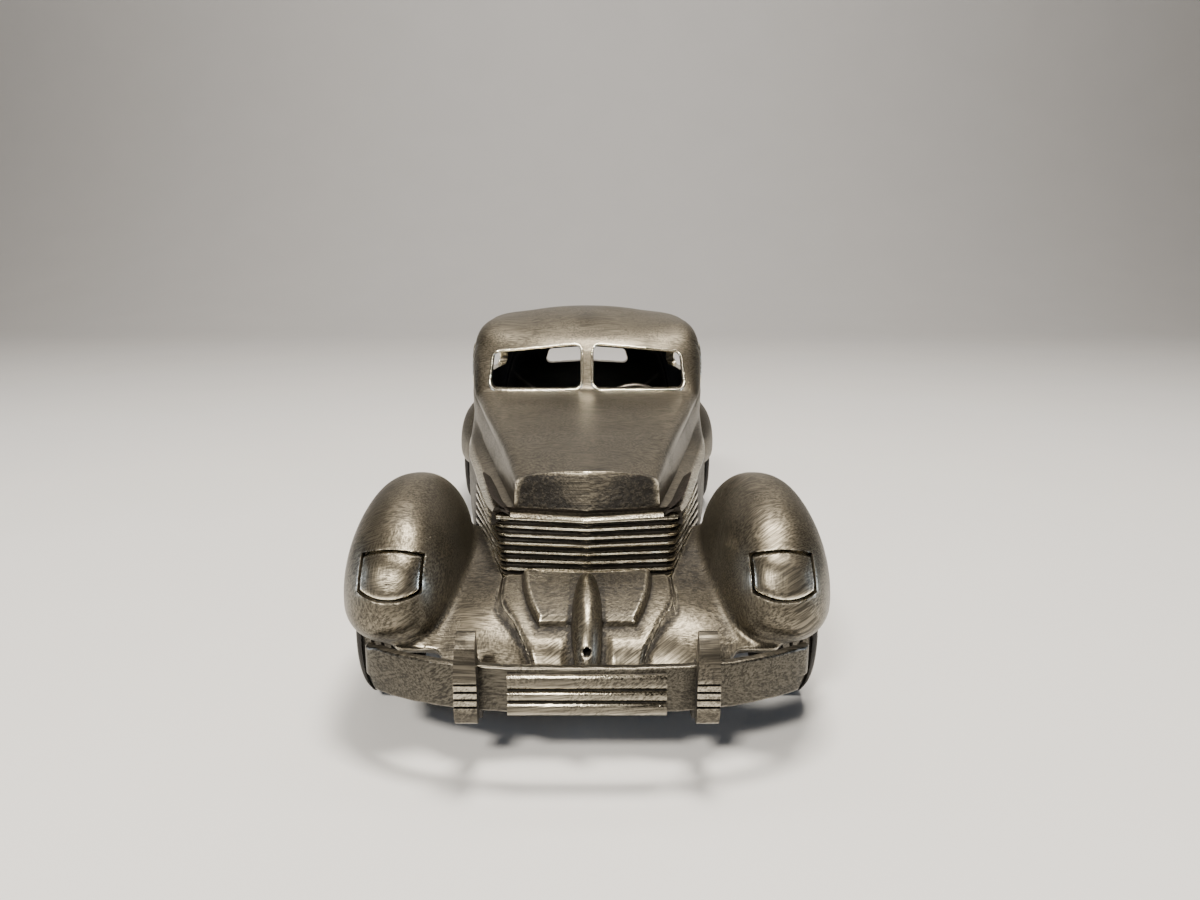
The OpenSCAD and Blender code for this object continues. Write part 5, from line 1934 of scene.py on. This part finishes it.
@dataclass
class PlainPiece:
    """A piece whose CAD shape is kept, with its edges rounded.

    Attributes:
        node: The CAD node.
        finish: Its finish.
        slot: Its material slot.
        rounding: Width of the rounding in millimetres.
        body: The CAD body that it rides on.
        angle: Edges that turn by less, in degrees, are left.
    """

    node: str
    finish: Pewter
    slot: str
    rounding: float = 0.12
    body: str = CAR
    angle: float = 35.0

    def build(self) -> bpy.types.Object:
        """Rounds a copy of the CAD node and dresses it."""
        bm = bmesh.new()
        bm.from_mesh(bpy.data.objects[self.node].data)
        bmesh.ops.transform(bm, matrix=bpy.data.objects[self.node].matrix_world, verts=bm.verts)
        bmesh.ops.remove_doubles(bm, verts=bm.verts, dist=0.001 * MM)
        bmesh.ops.dissolve_limit(bm, angle_limit=math.radians(1), verts=bm.verts, edges=bm.edges)
        bmesh.ops.recalc_face_normals(bm, faces=bm.faces)
        if self.rounding:
            soften(bm, self.rounding, 2, self.angle)
        name = f"{self.node}_dressed"
        made = new_object(name, bm)
        piece = Piece(name, (self.finish,), self.slot, body=self.body, nodes=(self.node,), blur=1)
        return piece.dress(made)


@dataclass
class SteeringWheel:
    """The steering wheel: a round rim on three spokes.

    Attributes:
        x: Half width of its middle.
        s: Station of its middle.
        z: Drawn height of its middle.
        radius: Outer radius of the rim.
        rim: Thickness of the rim.
        tilt: Tilt of the column in degrees.
    """

    x: float = 6.5
    s: float = 60.5
    z: float = 21.2
    radius: float = 4.3
    rim: float = 0.7
    tilt: float = 27.0

    def build(self) -> bpy.types.Object:
        """Makes the wheel on its tilted column."""
        bm = bmesh.new()
        middle = self.radius - self.rim / 2
        ring = [
            bm.verts.new((middle + self.rim / 2 * math.cos(a), 0, self.rim / 2 * math.sin(a)))
            for a in (2 * math.pi * k / 16 for k in range(16))
        ]
        edges = [bm.edges.new((ring[k], ring[(k + 1) % 16])) for k in range(16)]
        bmesh.ops.spin(
            bm, geom=[*ring, *edges], cent=(0, 0, 0), axis=(0, 0, 1), dvec=(0, 0, 0),
            angle=2 * math.pi, steps=72, use_merge=True, use_duplicate=False,
        )
        hub = bmesh.new()
        bmesh.ops.create_cone(hub, cap_ends=True, segments=32, radius1=0.95, radius2=0.8, depth=1.0)
        bmesh.ops.translate(hub, verts=hub.verts, vec=(0, 0, -0.1))
        soften(hub, 0.12, 2, 40)
        join(bm, hub)
        for turn in (90, 210, 330):
            spoke = bmesh.new()
            bmesh.ops.create_cone(
                spoke, cap_ends=True, segments=16, radius1=0.22, radius2=0.18, depth=middle - 0.5
            )
            bmesh.ops.rotate(spoke, verts=spoke.verts, matrix=Matrix.Rotation(math.pi / 2, 3, "Y"))
            bmesh.ops.translate(spoke, verts=spoke.verts, vec=((middle + 0.5) / 2, 0, 0))
            bmesh.ops.rotate(spoke, verts=spoke.verts, matrix=Matrix.Rotation(math.radians(turn), 3, "Z"))
            join(bm, spoke)
        bmesh.ops.scale(bm, verts=bm.verts, vec=(MM, MM, MM))
        bmesh.ops.rotate(bm, verts=bm.verts, matrix=Matrix.Rotation(math.radians(self.tilt - 90), 3, "X"))
        bmesh.ops.translate(bm, verts=bm.verts, vec=DATUM.at(self.x, self.s, self.z))
        bmesh.ops.recalc_face_normals(bm, faces=bm.faces)
        made = new_object("steering_wheel_dressed", bm)
        return Piece(
            "steering_wheel_dressed", (FITTINGS,), "interior_pewter", nodes=("steering_wheel",), blur=1
        ).dress(made)


def plain_pieces() -> list[PlainPiece]:
    """Lists the pieces that keep their CAD shape."""
    inside = [
        PlainPiece("cabin_floor", INSIDE, "interior_pewter"),
        PlainPiece("dashboard", FITTINGS, "interior_pewter", 0.25),
        PlainPiece("steering_column", FITTINGS, "interior_pewter", 0.0),
        PlainPiece("front_seat", FITTINGS, "interior_pewter", 0.5, angle=20),
        PlainPiece("rear_seat", FITTINGS, "interior_pewter", 0.5, angle=20),
    ]
    return inside + [
        PlainPiece("base_plate", CHASSIS, "chassis_pewter", 0.15),
        PlainPiece("base_screws", STEEL, "steel", 0.08),
        PlainPiece("front_axle", STEEL, "steel", 0.15, body=FRONT_WHEELS),
        PlainPiece("rear_axle", STEEL, "steel", 0.15, body=REAR_WHEELS),
    ]


# ---- Studio ---------------------------------------------------------------------------------


@dataclass(frozen=True)
class Lamp:
    """One soft rectangular light.

    Attributes:
        name: Its name.
        place: Where it stands, in metres.
        aim: The point it shines at.
        size: Width and height in metres.
        power: Its power in watts.
        colour: Its colour.
    """

    name: str
    place: tuple[float, float, float]
    size: tuple[float, float]
    power: float
    colour: tuple[float, float, float] = (1.0, 0.97, 0.93)
    aim: tuple[float, float, float] = (0.0, -0.01, 0.015)

    def build(self) -> bpy.types.Object:
        """Makes the light and turns it towards its aim."""
        data = bpy.data.lights.new(self.name, "AREA")
        data.shape, data.energy, data.color = "RECTANGLE", self.power, self.colour
        data.size, data.size_y = self.size
        made = bpy.data.objects.new(self.name, data)
        bpy.context.scene.collection.objects.link(made)
        made.location = self.place
        made.visible_camera = False
        away = Vector(self.place) - Vector(self.aim)
        made.rotation_euler = away.to_track_quat("Z", "Y").to_euler()
        return made


@dataclass
class Studio:
    """Pale floor with a curved back, soft lights and the camera.

    Attributes:
        camera_place: Where the camera stands, in metres.
        camera_pitch: How far it looks down, in degrees.
        lens: Its focal length in millimetres.
        sideways: How far its picture is shifted, as a share of its width.
        lamps: The lights.
        world: Colour of the surroundings.
        world_strength: Their strength.
        reach: How far behind the car the floor starts to rise, in metres.
        bend: Radius of that rise.
        tone: Darkest and lightest grey of the floor.
    """

    camera_place: tuple[float, float, float] = (0.0, -0.1221, 0.0406)
    camera_pitch: float = 11.5
    lens: float = 27.03
    sideways: float = 13 / 1200
    lamps: tuple[Lamp, ...] = (
        Lamp("overhead", (0.03, -0.03, 0.36), (0.08, 0.11), 2.0, (1.0, 0.92, 0.80)),
        Lamp("front_key", (-0.09, -0.32, 0.24), (0.06, 0.035), 1.8, (1.0, 0.93, 0.82)),
        Lamp("backdrop", (0.0, 0.25, 0.55), (0.5, 0.2), 1.6, (1.0, 0.93, 0.86), (0.0, 0.6, 0.15)),
        Lamp("left_fill", (0.34, -0.06, 0.06), (0.06, 0.14), 0.28, (0.62, 0.77, 1.0)),
        Lamp("right_fill", (-0.34, -0.02, 0.07), (0.06, 0.14), 0.24, (0.66, 0.79, 1.0)),
    )
    world: tuple[float, float, float] = (0.40, 0.34, 0.28)
    world_strength: float = 0.09
    reach: float = 0.42
    bend: float = 0.30
    tone: tuple[float, float] = (0.74, 0.78)

    def floor(self) -> bpy.types.Object:
        """Makes the floor, which rises in a curve far behind the car."""
        reach, bend = self.reach, self.bend
        turns = [math.radians(90 * k / 16) for k in range(17)]
        rows = [(-0.7, 0.0)] + [
            (reach + bend * math.sin(a), bend * (1 - math.cos(a))) for a in turns
        ] + [(reach + bend, 1.2)]

        def at(i: int, j: int) -> Vector:
            """Place of corner i across and j along the sweep."""
            return Vector((mix(-1.6, 1.6, i / 4), *rows[j]))

        bm = grid(4, len(rows) - 1, at)
        made = new_object("studio_floor", bm)
        made.data.shade_smooth()
        paper = bpy.data.materials.new("studio_paper")
        paper.use_nodes = True
        nodes, links = paper.node_tree.nodes, paper.node_tree.links
        surface = nodes["Principled BSDF"]
        surface.inputs["Roughness"].default_value = 0.6
        surface.inputs["Specular IOR Level"].default_value = 0.25
        grain = nodes.new("ShaderNodeTexNoise")
        grain.inputs["Scale"].default_value = 30.0
        tone = nodes.new("ShaderNodeMapRange")
        tone.inputs["To Min"].default_value, tone.inputs["To Max"].default_value = self.tone
        where = nodes.new("ShaderNodeTexCoord")
        links.new(where.outputs["Object"], grain.inputs["Vector"])
        links.new(grain.outputs[0], tone.inputs["Value"])
        links.new(tone.outputs["Result"], surface.inputs["Base Color"])
        made.data.materials.append(paper)
        return made

    def camera(self) -> bpy.types.Object:
        """Makes the camera, level from side to side and looking down at the nose."""
        data = bpy.data.cameras.new("camera")
        data.sensor_width, data.lens, data.shift_x = 36.0, self.lens, self.sideways
        data.clip_start, data.clip_end = 0.005, 10.0
        made = bpy.data.objects.new("camera", data)
        bpy.context.scene.collection.objects.link(made)
        made.location = self.camera_place
        made.rotation_euler = (math.radians(90 - self.camera_pitch), 0.0, 0.0)
        bpy.context.scene.camera = made
        return made

    def build(self) -> None:
        """Sets the whole studio up."""
        sky = bpy.data.worlds.new("studio_sky")
        bpy.context.scene.world = sky
        sky.use_nodes = True
        back = sky.node_tree.nodes["Background"]
        back.inputs["Color"].default_value = (*self.world, 1.0)
        back.inputs["Strength"].default_value = self.world_strength
        stage = [self.floor(), *[lamp.build() for lamp in self.lamps], self.camera()]
        log.info("studio: %d lights", len(self.lamps))


def main() -> None:
    """Builds the car and its studio."""
    logging.basicConfig(level=logging.INFO, format="%(name)s: %(message)s")
    BodyShell().build()
    wing = FrontWing()
    wing.build()
    wing.lamp_covers()
    GearboxCover().build()
    RearWing().build()
    for bumper in (Bumper(), Bumper(rear=True)):
        bumper.build()
    for wheels in (Wheelset("front", FRONT_WHEELS, 19.5), Wheelset("rear", REAR_WHEELS, 93.3)):
        wheels.build()
    SteeringWheel().build()
    for plain in plain_pieces():
        plain.build()
    Studio().build()


if __name__ == "__main__":
    main()
